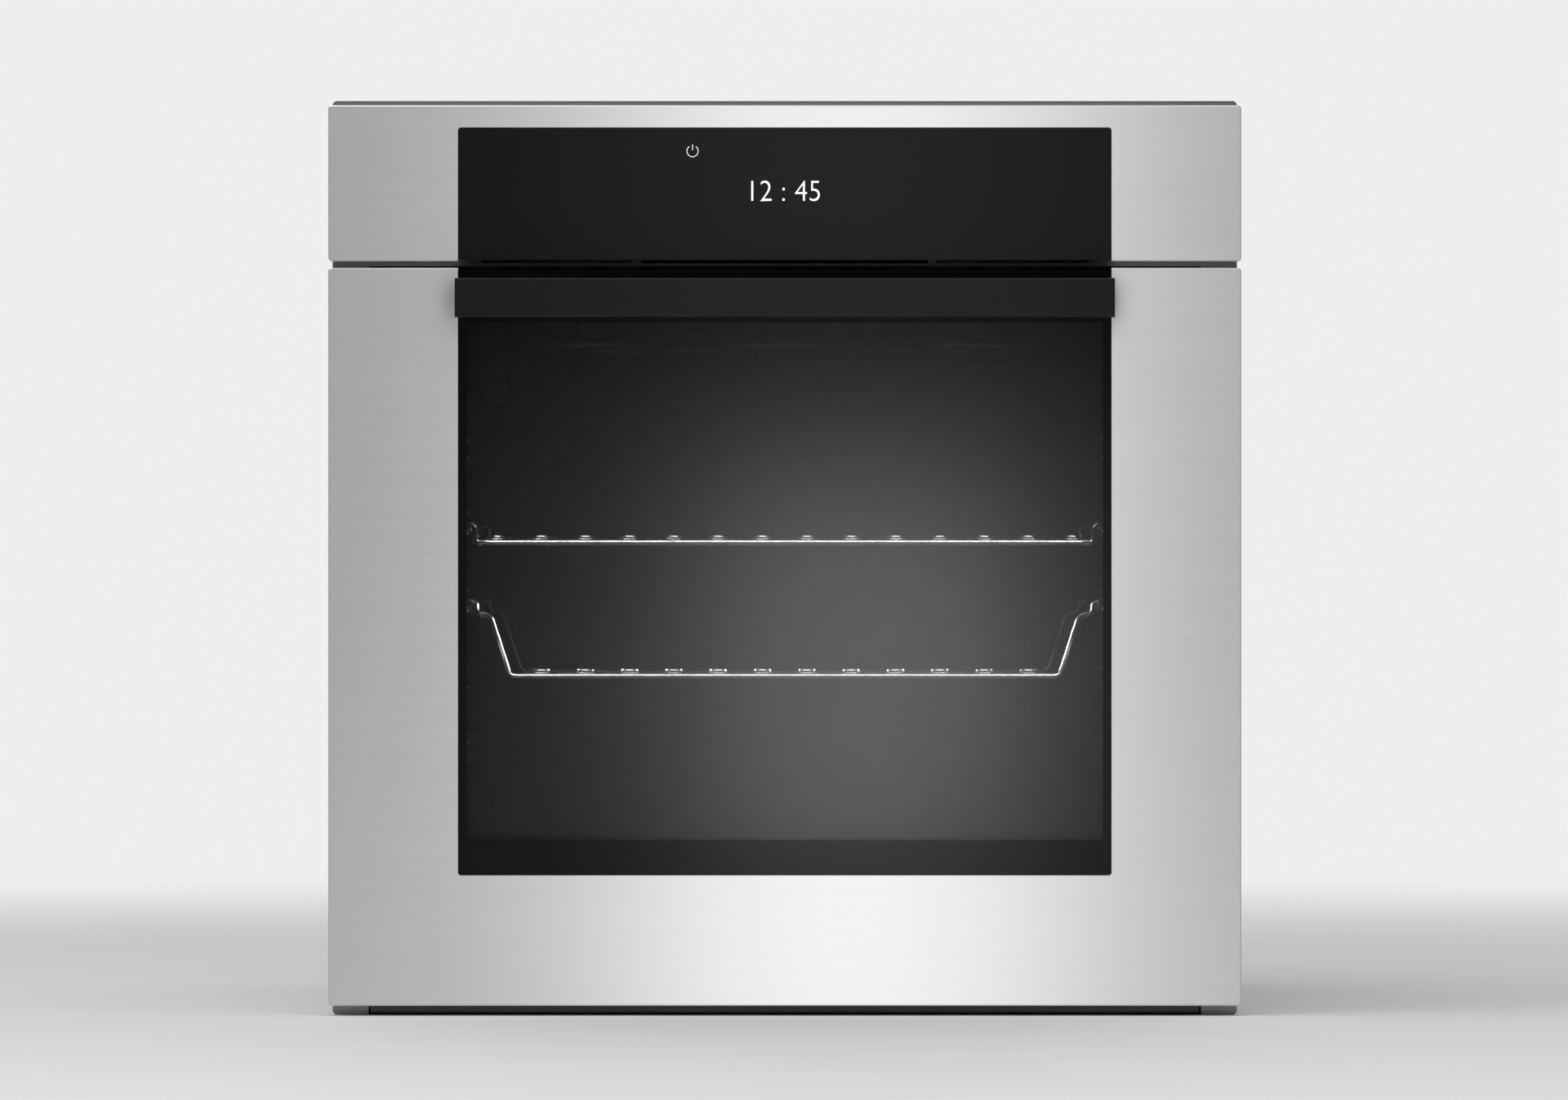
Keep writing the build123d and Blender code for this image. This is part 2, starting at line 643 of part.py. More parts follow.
with BuildPart() as drop_shelf_side:
    shoulder_z = drop_z - DROP_SHOULDER
    wire(((GUIDE_X, SHELF_FRONT, drop_z), (GUIDE_X, SHELF_BACK, drop_z)), RAIL_R)
    for rail_depth in (FRONT_RAIL_DEPTH, BACK_RAIL_DEPTH):
        wire(
            (
                (GUIDE_X, rail_depth, drop_z),
                (RAIL_DROP_X, rail_depth, drop_z),
                (RAIL_DROP_X, rail_depth, shoulder_z),
            ),
            RAIL_R,
        )
        wire(
            (
                (RAIL_DROP_X + 1, rail_depth, shoulder_z),
                (DROP_TOP_X, rail_depth, shoulder_z),
                (DROP_FLOOR_X, rail_depth, drop_floor_z),
                (DROP_JOIN_X, rail_depth, drop_floor_z),
            ),
            RAIL_R,
            bend=DROP_BEND,
        )
save_pair("drop_shelf_side", drop_shelf_side.part)

# Fan cover: dished plate in front of the fan, with a slotted rim and a round intake grille
COVER_FRONT = CAVITY_BACK - COVER_DEPTH
with BuildPart() as fan_cover:
    with BuildSketch(facing(CAVITY_BACK)):
        rounded_between((-COVER_HALF, COVER_BOTTOM), (COVER_HALF, COVER_TOP), COVER_CORNER)
    extrude(amount=COVER_DEPTH)
    chamfer(fan_cover.faces().sort_by(Axis.Y)[0].edges(), 1.2)
    with BuildSketch(facing(CAVITY_BACK)):
        rounded_between(
            (-COVER_HALF + SHEET, COVER_BOTTOM + SHEET),
            (COVER_HALF - SHEET, COVER_TOP - SHEET),
            COVER_CORNER - SHEET,
        )
    extrude(amount=COVER_DEPTH - SHEET, mode=Mode.SUBTRACT)
    with BuildSketch(facing(COVER_FRONT + SHEET)):
        with Locations((0, FAN_Z)):
            with PolarLocations(42, 16):
                Rectangle(42, 5)
        with Locations((0, COVER_TOP - 16), (0, COVER_BOTTOM + 16)):
            with GridLocations(19, 0, 14, 1):
                Rectangle(14, 4)
    extrude(amount=SHEET, mode=Mode.SUBTRACT)
save("fan_cover", fan_cover.part)

# Convection fan: bladed disc on a hub, and the motor that turns it from behind the back wall
FAN_BACK = CAVITY_BACK - 4
with BuildPart() as convection_fan:
    with BuildSketch(facing(FAN_BACK)):
        with Locations((0, FAN_Z)):
            RegularPolygon(FAN_R, 2 * FAN_BLADES)
            Circle(SHAFT_R + SHAFT_CLEAR, mode=Mode.SUBTRACT)
    extrude(amount=SHEET)
    with BuildSketch(facing(FAN_BACK)):
        with Locations((0, FAN_Z)):
            RegularPolygon(FAN_HUB_R, SMALL_SIDES)
            Circle(SHAFT_R + SHAFT_CLEAR, mode=Mode.SUBTRACT)
    extrude(amount=FAN_DEPTH)
    with BuildSketch(facing(FAN_BACK)):
        with Locations((0, FAN_Z)):
            with PolarLocations(FAN_R - 17, FAN_BLADES):
                Rectangle(30, SHEET, rotation=18)
    extrude(amount=FAN_DEPTH)
save("convection_fan", convection_fan.part)

MOTOR_FRONT = CAVITY_BACK + ENAMEL_SHEET
with BuildPart() as fan_motor:
    with BuildSketch(facing(MOTOR_FRONT + 2)):
        with Locations((0, FAN_Z)):
            Rectangle(76, 76)
            RegularPolygon(SHAFT_R + 3, SMALL_SIDES, mode=Mode.SUBTRACT)
    extrude(amount=2)
    with BuildSketch(facing(MOTOR_FRONT + 2)):
        with Locations((0, FAN_Z)):
            RegularPolygon(32, ROUND_SIDES)
            RegularPolygon(SHAFT_R + 3, SMALL_SIDES, mode=Mode.SUBTRACT)
    extrude(amount=-12)
    with BuildSketch(facing(MOTOR_FRONT + 14)):
        with Locations((0, FAN_Z)):
            Rectangle(60, 60)
    extrude(amount=-36)
    with BuildSketch(facing(MOTOR_FRONT + 14)):
        with Locations((0, FAN_Z)):
            Circle(SHAFT_R)
    extrude(amount=MOTOR_FRONT + 14 - FAN_BACK + FAN_DEPTH - 2)
save("fan_motor", fan_motor.part)

# Ring heater around the fan, with two legs through the back wall
RING_DEPTH = CAVITY_BACK - 14
LEG_BACK = CAVITY_BACK + 22
with BuildPart() as ring_heater:
    leg_angle = asin(RING_LEG_RISE / RING_R)
    ring_step = (2 * pi - 2 * leg_angle) / RING_LENGTHS
    ring_route = []
    for index in range(RING_LENGTHS + 1):
        angle = pi - leg_angle - index * ring_step
        ring_route.append((RING_R * cos(angle), RING_DEPTH, FAN_Z + RING_R * sin(angle)))
    wire(ring_route, TUBE_R)
    for leg_x, leg_depth, leg_z in (ring_route[0], ring_route[-1]):
        wire(((leg_x, leg_depth - TUBE_R - LEG_SLEEVE, leg_z), (leg_x, LEG_BACK, leg_z)), TUBE_R + LEG_SLEEVE)
save("ring_heater", ring_heater.part)

# Grill heater under the roof: one looped tube with both ends through the back wall
with BuildPart() as grill_heater:
    grill_back = COVER_FRONT - 57
    half_run = (
        (GRILL_LEG_X, LEG_BACK, GRILL_Z),
        (GRILL_LEG_X, grill_back, GRILL_Z),
        (160, grill_back, GRILL_Z),
        (160, 70, GRILL_Z),
        (100, 70, GRILL_Z),
        (100, grill_back - 50, GRILL_Z),
        (34, grill_back - 50, GRILL_Z),
        (34, 70, GRILL_Z),
    )
    other_run = tuple((-px, depth, pz) for px, depth, pz in reversed(half_run))
    wire(half_run + other_run, TUBE_R, bend=GRILL_BEND)
save("grill_heater", grill_heater.part)

# Straps that hang the grill heater from the roof
with BuildPart() as grill_straps:
    for strap_depth in (110, 250):
        slab((-172, strap_depth - 5, GRILL_Z + TUBE_R), (172, strap_depth + 5, GRILL_Z + TUBE_R + SHEET))
        for strap_x in (-130, 130):
            slab((strap_x - 5, strap_depth - 5, GRILL_Z + TUBE_R), (strap_x + 5, strap_depth + 5, CAVITY_TOP))
save("grill_straps", grill_straps.part)

# Lower heater under the cavity floor
LOWER_Z = CAVITY_FLOOR - ENAMEL_SHEET - TUBE_R - 0.2
with BuildPart() as lower_heater:
    heater_back = CAVITY_BACK - 99
    wire(
        (
            (-30, CAVITY_BACK + 1, LOWER_Z),
            (-30, heater_back, LOWER_Z),
            (-150, heater_back, LOWER_Z),
            (-150, 80, LOWER_Z),
            (150, 80, LOWER_Z),
            (150, heater_back, LOWER_Z),
            (30, heater_back, LOWER_Z),
            (30, CAVITY_BACK + 1, LOWER_Z),
        ),
        TUBE_R,
        bend=GRILL_BEND,
    )
save("lower_heater", lower_heater.part)

# Oven lamp: holder behind the wall, bulb and ribbed lens
with BuildPart() as lamp_holder:
    with BuildSketch(facing(CAVITY_BACK + ENAMEL_SHEET)):
        with Locations((LAMP_X, LAMP_Z)):
            RegularPolygon(LAMP_R, ROUND_SIDES)
            RegularPolygon(LAMP_R - 6, ROUND_SIDES, mode=Mode.SUBTRACT)
    extrude(amount=-LAMP_HOLDER_DEPTH)
    with BuildSketch(facing(CAVITY_BACK + ENAMEL_SHEET + LAMP_HOLDER_DEPTH)):
        with Locations((LAMP_X, LAMP_Z)):
            RegularPolygon(LAMP_R, ROUND_SIDES)
    extrude(amount=-4)
save("lamp_holder", lamp_holder.part)

with BuildPart() as lamp_bulb:
    bulb_back = CAVITY_BACK + ENAMEL_SHEET + LAMP_HOLDER_DEPTH
    with BuildSketch(facing(bulb_back)):
        with Locations((LAMP_X, LAMP_Z)):
            RegularPolygon(BULB_R, SMALL_SIDES)
    extrude(amount=BULB_LENGTH)
    chamfer(lamp_bulb.faces().sort_by(Axis.Y)[0].edges(), BULB_R / 2)
    with BuildSketch(facing(bulb_back)):
        with Locations((LAMP_X, LAMP_Z)):
            RegularPolygon(BULB_R + 2, SMALL_SIDES)
    extrude(amount=8)
save("lamp_bulb", lamp_bulb.part)

with BuildPart() as lamp_lens:
    with BuildSketch(facing(CAVITY_BACK)):
        with Locations((LAMP_X, LAMP_Z)):
            RegularPolygon(LAMP_R, 2 * ROUND_SIDES)
    extrude(amount=10)
    chamfer(lamp_lens.faces().sort_by(Axis.Y)[0].edges(), 4)
    with BuildSketch(facing(CAVITY_BACK)):
        with Locations((LAMP_X, LAMP_Z)):
            RegularPolygon(LAMP_R - 4, ROUND_SIDES)
    extrude(amount=7, mode=Mode.SUBTRACT)
save("lamp_lens", lamp_lens.part)

# Temperature probe: thin tube through the back wall
with BuildPart() as temperature_probe:
    wire(((PROBE_X, CAVITY_BACK - 30, PROBE_Z), (PROBE_X, CAVITY_BACK + 14, PROBE_Z)), PROBE_R)
    with BuildSketch(facing(CAVITY_BACK)):
        with Locations((PROBE_X, PROBE_Z)):
            RegularPolygon(PROBE_R + 6, 6)
            RegularPolygon(PROBE_R - 1, 6, mode=Mode.SUBTRACT)
    extrude(amount=2)
save("temperature_probe", temperature_probe.part)

# Cooling blower: scroll housing with an intake window, bladed rotor and motor
BLOWER_Z = DECK_TOP + BLOWER_R
OUTLET_DEPTH = BLOWER_DEPTH - BLOWER_R - 20
with BuildPart() as blower_housing:
    with BuildSketch(sideways(-BLOWER_HALF)):
        with Locations((y(BLOWER_DEPTH), BLOWER_Z)):
            RegularPolygon(BLOWER_R, 2 * ROUND_SIDES)
        rectangle_between((y(OUTLET_DEPTH), DECK_TOP), (y(BLOWER_DEPTH), DECK_TOP + DUCT_HEIGHT))
    extrude(amount=2 * BLOWER_HALF)
    with BuildSketch(sideways(-BLOWER_HALF + SHEET)):
        with Locations((y(BLOWER_DEPTH), BLOWER_Z)):
            RegularPolygon(BLOWER_R - SHEET, 2 * ROUND_SIDES)
        rectangle_between(
            (y(OUTLET_DEPTH - 1), DECK_TOP + SHEET),
            (y(BLOWER_DEPTH), DECK_TOP + DUCT_HEIGHT - SHEET),
        )
    extrude(amount=2 * (BLOWER_HALF - SHEET), mode=Mode.SUBTRACT)
    slab(
        (-ROTOR_HALF, BLOWER_DEPTH + 4, BLOWER_Z + 4),
        (ROTOR_HALF, BLOWER_DEPTH + BLOWER_R, BLOWER_Z + BLOWER_R),
        mode=Mode.SUBTRACT,
    )
    with BuildSketch(sideways(-BLOWER_HALF)):
        with Locations((y(BLOWER_DEPTH), BLOWER_Z)):
            RegularPolygon(8, SMALL_SIDES)
    extrude(amount=2 * BLOWER_HALF, mode=Mode.SUBTRACT)
save("blower_housing", blower_housing.part)

with BuildPart() as blower_rotor:
    for disc_x in (-ROTOR_HALF, -SHEET / 2, ROTOR_HALF - SHEET):
        with BuildSketch(sideways(disc_x)):
            with Locations((y(BLOWER_DEPTH), BLOWER_Z)):
                RegularPolygon(ROTOR_R, ROTOR_BLADES)
                Circle(SHAFT_R + SHAFT_CLEAR, mode=Mode.SUBTRACT)
        extrude(amount=SHEET)
    with BuildSketch(sideways(-ROTOR_HALF)):
        with Locations((y(BLOWER_DEPTH), BLOWER_Z)):
            with PolarLocations(ROTOR_R - 5, ROTOR_BLADES):
                Rectangle(8, 0.8, rotation=35)
    extrude(amount=2 * ROTOR_HALF)
save("blower_rotor", blower_rotor.part)

with BuildPart() as blower_motor:
    with BuildSketch(sideways(BLOWER_HALF)):
        with Locations((y(BLOWER_DEPTH), BLOWER_Z)):
            Rectangle(54, 54)
    extrude(amount=34)
    with BuildSketch(sideways(BLOWER_HALF)):
        with Locations((y(BLOWER_DEPTH), BLOWER_Z)):
            Circle(SHAFT_R)
    extrude(amount=-(2 * BLOWER_HALF - 2))
save("blower_motor", blower_motor.part)

# Air duct: tapered hood on the deck from the blower to the slot above the door
with BuildPart() as air_duct:
    with BuildSketch(Plane.XY.offset(DECK_TOP)):
        with BuildLine():
            Polyline(
                (-BLOWER_HALF, y(OUTLET_DEPTH)),
                (-AIR_SLOT_HALF, y(FRAME_FLOOR_BACK)),
                (AIR_SLOT_HALF, y(FRAME_FLOOR_BACK)),
                (BLOWER_HALF, y(OUTLET_DEPTH)),
                close=True,
            )
        make_face()
    extrude(amount=DUCT_HEIGHT)
    with BuildSketch(Plane.XY.offset(DECK_TOP)):
        with BuildLine():
            Polyline(
                (-BLOWER_HALF + 1.2, y(OUTLET_DEPTH)),
                (-AIR_SLOT_HALF + 1.2, y(FRAME_FLOOR_BACK)),
                (AIR_SLOT_HALF - 1.2, y(FRAME_FLOOR_BACK)),
                (BLOWER_HALF - 1.2, y(OUTLET_DEPTH)),
                close=True,
            )
        make_face()
    extrude(amount=DUCT_HEIGHT - SHEET, mode=Mode.SUBTRACT)
save("air_duct", air_duct.part)

# Power electronics: board with relays and a transformer on stand-offs over the deck
BOARD_X, BOARD_DEPTH, BOARD_Z = 205.0, 420.0, DECK_TOP + 8
with BuildPart() as power_board:
    slab((BOARD_X - 55, BOARD_DEPTH - 65, BOARD_Z), (BOARD_X + 55, BOARD_DEPTH + 65, BOARD_Z + 1.6))
    with BuildSketch(Plane.XY.offset(DECK_TOP)):
        with Locations((BOARD_X, y(BOARD_DEPTH))):
            with GridLocations(98, 118, 2, 2):
                RegularPolygon(3, 6)
    extrude(amount=BOARD_Z - DECK_TOP)
    with BuildSketch(Plane.XY.offset(BOARD_Z + 1.6)):
        with Locations((BOARD_X + 30, y(BOARD_DEPTH))):
            with GridLocations(0, 24, 1, 5):
                Rectangle(28, 20)
    extrude(amount=16)
    slab((BOARD_X - 42, BOARD_DEPTH + 10, BOARD_Z), (BOARD_X - 4, BOARD_DEPTH + 52, BOARD_Z + 34))
save("power_board", power_board.part)

# Control fascia: steel front with a notch for the glass, open at the lower edge
FACE_FRONT = -FRONT_PROJECTION
FACE_BACK = FACE_FRONT + SHEET


def steel_front(bottom, top, reach):
    """Folded steel front of full width: a face with returns on all four sides, in the current part."""
    with BuildSketch(facing(FACE_FRONT + reach)) as outline:
        rounded_between((-FRONT_HALF, bottom), (FRONT_HALF, top), SKIN_CORNER)
    front = extrude(outline.sketch, amount=reach)
    chamfer(front.faces().sort_by(Axis.Y)[0].edges(), SKIN_EDGE)
    with BuildSketch(facing(FACE_FRONT + reach)) as hollow:
        rounded_between(
            (-FRONT_HALF + SHEET, bottom + SHEET),
            (FRONT_HALF - SHEET, top - SHEET),
            SKIN_CORNER - SHEET,
        )
    extrude(hollow.sketch, amount=reach - SHEET, mode=Mode.SUBTRACT)


with BuildPart() as fascia:
    steel_front(FASCIA_BOTTOM, FASCIA_TOP, FRONT_PROJECTION - SHEET)
    with BuildSketch(facing(0)):
        rounded_between((-WINDOW_HALF, FASCIA_BOTTOM - 10), (WINDOW_HALF, CONTROL_GLASS_TOP), GLASS_CORNER)
    extrude(amount=FRONT_PROJECTION, mode=Mode.SUBTRACT)
save("fascia", fascia.part)

PANE_FRONT = FACE_BACK + 0.1
PANE_BACK = PANE_FRONT + PANE
with BuildPart() as control_glass:
    with BuildSketch(facing(PANE_BACK)):
        rounded_between(
            (-WINDOW_HALF - OUTER_PANE_LAP, FASCIA_BOTTOM + SHEET),
            (WINDOW_HALF + OUTER_PANE_LAP, FASCIA_TOP - 3),
            GLASS_CORNER,
        )
    extrude(amount=PANE)
save("control_glass", control_glass.part)

# Carrier that holds the control glass and the boards off the frame
CARRIER_BOTTOM, CARRIER_TOP, CARRIER_HALF = 506.0, 588.0, 222.0
with BuildPart() as control_carrier:
    with BuildSketch(facing(-SHEET)):
        rounded_between((-CARRIER_HALF, CARRIER_BOTTOM), (CARRIER_HALF, CARRIER_TOP), 3)
    extrude(amount=-SHEET - PANE_BACK)
    with BuildSketch(facing(-SHEET)):
        rounded_between((-CARRIER_HALF + 2, CARRIER_BOTTOM + 2), (CARRIER_HALF - 2, CARRIER_TOP - 2), 2)
    extrude(amount=-SHEET - PANE_BACK - 2, mode=Mode.SUBTRACT)
    with BuildSketch(facing(-SHEET)):
        rounded_between((-65, CARRIER_BOTTOM + 14), (65, CARRIER_TOP - 14), 2)
    extrude(amount=-SHEET - PANE_BACK, mode=Mode.SUBTRACT)
save("control_carrier", control_carrier.part)

with BuildPart() as control_board:
    slab((-64, PANE_BACK + SEAT_GAP, CARRIER_BOTTOM + 15), (64, PANE_BACK + 7, CARRIER_TOP - 15))
    slab((-200, PANE_BACK + 7, CARRIER_BOTTOM + 9), (200, PANE_BACK + 8.6, CARRIER_TOP - 9))
    for side in (-1, 1):
        with BuildSketch(facing(PANE_BACK + 7)):
            with Locations((side * 135, (CARRIER_BOTTOM + CARRIER_TOP) / 2)):
                with GridLocations(40, 36, 3, 2):
                    Rectangle(14, 14)
        extrude(amount=5)
save("control_board", control_board.part)

# Door skin: steel U around the window, with slots in the lower return that the hinge arms turn through
with BuildPart() as door_skin:
    steel_front(DOOR_BOTTOM, DOOR_TOP, SKIN_RETURN)
    with BuildSketch(facing(0)):
        rounded_between((-WINDOW_HALF, WINDOW_BOTTOM), (WINDOW_HALF, DOOR_TOP + 10), GLASS_CORNER)
    extrude(amount=FRONT_PROJECTION, mode=Mode.SUBTRACT)
    for side in (-1, 1):
        slab(
            (side * ARM_X - ARM_THICK, HINGE_DEPTH - ARM_SLOT, DOOR_BOTTOM),
            (side * ARM_X + ARM_THICK, FACE_FRONT + SKIN_RETURN, DOOR_BOTTOM + SHEET),
            mode=Mode.SUBTRACT,
        )
save("door_skin", door_skin.part)

# Glazing: outer pane behind the skin, two middle panes and the inner pane on the stiles
POST_X = HANDLE_HALF - POST_WIDTH / 2 - 2
POST_Z = (HANDLE_BOTTOM + HANDLE_TOP) / 2 - 1
with BuildPart() as outer_pane:
    with BuildSketch(facing(PANE_BACK)):
        rounded_between(
            (-WINDOW_HALF - OUTER_PANE_LAP, WINDOW_BOTTOM - OUTER_PANE_LAP),
            (WINDOW_HALF + OUTER_PANE_LAP, DOOR_TOP - SHEET - SEAT_GAP),
            GLASS_CORNER,
        )
        with Locations((-POST_X, POST_Z), (POST_X, POST_Z)):
            Circle(HANDLE_SCREW_R + 1, mode=Mode.SUBTRACT)
    extrude(amount=PANE)
save("outer_pane", outer_pane.part)

MIDDLE_BOTTOM = RAIL_TOP + 3
MIDDLE_TOP = STILE_TOP - 3
for pane_name, pane_depth in zip(("middle_pane_front", "middle_pane_rear"), MIDDLE_PANE_DEPTHS):
    with BuildPart() as middle_pane:
        with BuildSketch(facing(pane_depth + PANE)):
            rectangle_between((-STILE_INNER + 1, MIDDLE_BOTTOM), (STILE_INNER - 1, MIDDLE_TOP))
        extrude(amount=PANE)
    save(pane_name, middle_pane.part)

with BuildPart() as inner_pane:
    with BuildSketch(facing(STILE_BACK + PANE)):
        rounded_between((-INNER_PANE_HALF, RAIL_TOP - 16), (INNER_PANE_HALF, STILE_TOP), 4)
    extrude(amount=PANE)
save("inner_pane", inner_pane.part)


def pane_holder(low, high):
    """Grooved bar that holds the edges of the two middle panes, in the current part."""
    slab(
        (-STILE_INNER + 2, MIDDLE_PANE_DEPTHS[0] - 3, low),
        (STILE_INNER - 2, STILE_BACK - SHEET - SEAT_GAP, high),
    )
    for groove in MIDDLE_PANE_DEPTHS:
        slab(
            (-STILE_INNER, groove - 0.1, max(low, MIDDLE_BOTTOM)),
            (STILE_INNER, groove + PANE + 0.1, min(high, MIDDLE_TOP)),
            mode=Mode.SUBTRACT,
        )


with BuildPart() as pane_holders:
    pane_holder(RAIL_TOP, RAIL_TOP + HOLDER_HEIGHT)
    pane_holder(STILE_TOP - HOLDER_HEIGHT, STILE_TOP)
save("pane_holders", pane_holders.part)

# Door frame: two channel stiles, a lower rail and a vented top rail
with BuildPart() as door_stile:
    slab((STILE_INNER, STILE_FRONT, STILE_BOTTOM), (STILE_OUTER, STILE_BACK, STILE_TOP))
    slab(
        (STILE_INNER, STILE_FRONT + SHEET, STILE_BOTTOM),
        (STILE_OUTER - SHEET, STILE_BACK - SHEET, STILE_TOP),
        mode=Mode.SUBTRACT,
    )
    slab(
        (HINGE_X - 6, STILE_BACK - SHEET, STILE_BOTTOM),
        (HINGE_X + 6, STILE_BACK, HINGE_Z + ARM_HIGH + 4),
        mode=Mode.SUBTRACT,
    )
    slab((HINGE_X - 7, STILE_FRONT, STILE_BOTTOM), (HINGE_X + 1, 0, HINGE_Z + EYE_ROOM), mode=Mode.SUBTRACT)
save_pair("door_stile", door_stile.part)

with BuildPart() as door_lower_rail:
    slab((-STILE_INNER, STILE_FRONT, STILE_BOTTOM), (STILE_INNER, STILE_BACK, RAIL_TOP))
    slab(
        (-STILE_INNER, STILE_FRONT + SHEET, STILE_BOTTOM),
        (STILE_INNER, STILE_BACK - SHEET, RAIL_TOP - SHEET),
        mode=Mode.SUBTRACT,
    )
save("door_lower_rail", door_lower_rail.part)

with BuildPart() as door_top_rail:
    slab(
        (-STILE_OUTER, PANE_BACK + SEAT_GAP, STILE_TOP),
        (STILE_OUTER, STILE_BACK + PANE, DOOR_TOP - SHEET - SEAT_GAP),
    )
    slab(
        (-STILE_OUTER + SHEET, PANE_BACK + SEAT_GAP + SHEET, STILE_TOP),
        (STILE_OUTER - SHEET, STILE_BACK + PANE - SHEET, DOOR_TOP - 2 * SHEET - SEAT_GAP),
        mode=Mode.SUBTRACT,
    )
    with BuildSketch(Plane.XY.offset(DOOR_TOP)):
        with Locations((0, y(0))):
            with GridLocations(28, 0, 16, 1):
                Rectangle(20, 8)
    extrude(amount=-2 * SHEET - SEAT_GAP, mode=Mode.SUBTRACT)
save("door_top_rail", door_top_rail.part)

# Handle: flat bar on two end posts, bolted through the outer pane
HANDLE_FRONT = -FRONT_REACH
with BuildPart() as handle:
    with BuildSketch(sideways(-HANDLE_HALF)):
        rounded_between((y(HANDLE_FRONT), HANDLE_BOTTOM), (y(HANDLE_FRONT + HANDLE_THICK), HANDLE_TOP), 1.2)
    extrude(amount=2 * HANDLE_HALF)
    for side in (-1, 1):
        with BuildSketch(sideways(side * POST_X - POST_WIDTH / 2)):
            with BuildLine():
                Polyline(
                    (y(HANDLE_FRONT + HANDLE_THICK / 2), POST_Z - POST_HEIGHT / 2),
                    (y(PANE_FRONT), POST_Z - POST_HEIGHT / 2),
                    (y(PANE_FRONT), POST_Z + POST_HEIGHT / 2 + 3),
                    (y(HANDLE_FRONT + HANDLE_THICK / 2), POST_Z + POST_HEIGHT / 2),
                    close=True,
                )
            make_face()
        extrude(amount=POST_WIDTH)
    with BuildSketch(facing(PANE_FRONT)):
        with Locations((-POST_X, POST_Z), (POST_X, POST_Z)):
            Circle(HANDLE_SCREW_R + SHAFT_CLEAR)
    extrude(amount=16, mode=Mode.SUBTRACT)
save("handle", handle.part)

with BuildPart() as handle_screws:
    with BuildSketch(facing(PANE_BACK)):
        with Locations((-POST_X, POST_Z), (POST_X, POST_Z)):
            Circle(HANDLE_SCREW_R)
    extrude(amount=PANE + 14)
    with BuildSketch(facing(PANE_BACK)):
        with Locations((-POST_X, POST_Z), (POST_X, POST_Z)):
            RegularPolygon(2 * HANDLE_SCREW_R, 6)
    extrude(amount=-3)
save("handle_screws", handle_screws.part)

# Door hinges: channel in the stile, hooked arm on the frame, pull rod and spring
LEVER_OUT = LEVER_R / sqrt(2)
LEVER_DEPTH = HINGE_DEPTH + LEVER_OUT
LEVER_Z = HINGE_Z + LEVER_OUT
with BuildPart() as hinge_channel:
    channel_front = STILE_FRONT + SHEET
    channel_back = STILE_BACK - SHEET - SEAT_GAP
    slab(
        (HINGE_X - CHANNEL_HALF, channel_front, CHANNEL_BOTTOM),
        (HINGE_X + CHANNEL_HALF, channel_back, CHANNEL_TOP),
    )
    slab(
        (HINGE_X - CHANNEL_HALF + CHANNEL_WALL, channel_front + CHANNEL_WALL, CHANNEL_BOTTOM),
        (HINGE_X + CHANNEL_HALF - CHANNEL_WALL, channel_back, CHANNEL_TOP),
        mode=Mode.SUBTRACT,
    )
    slab(
        (HINGE_X - CHANNEL_HALF + CHANNEL_WALL, channel_front, CHANNEL_BOTTOM),
        (HINGE_X + CHANNEL_HALF - CHANNEL_WALL, channel_back, HINGE_Z + EYE_ROOM),
        mode=Mode.SUBTRACT,
    )
    slab(
        (HINGE_X - CHANNEL_HALF, channel_front, SPRING_BOTTOM - CHANNEL_WALL),
        (HINGE_X + CHANNEL_HALF, channel_back, SPRING_BOTTOM),
    )
    with BuildSketch(Plane.XY.offset(SPRING_BOTTOM)):
        with Locations((ROD_X, y(ROD_DEPTH))):
            RegularPolygon(ROD_R + 2 * SEAT_GAP, SMALL_SIDES)
    extrude(amount=-CHANNEL_WALL, mode=Mode.SUBTRACT)
    with BuildSketch(sideways(HINGE_X - CHANNEL_HALF)):
        with Locations((y(HINGE_DEPTH), HINGE_Z)):
            Circle(HINGE_PIN_R + HINGE_CLEAR)
    extrude(amount=2 * CHANNEL_HALF, mode=Mode.SUBTRACT)
save_pair("hinge_channel", hinge_channel.part)

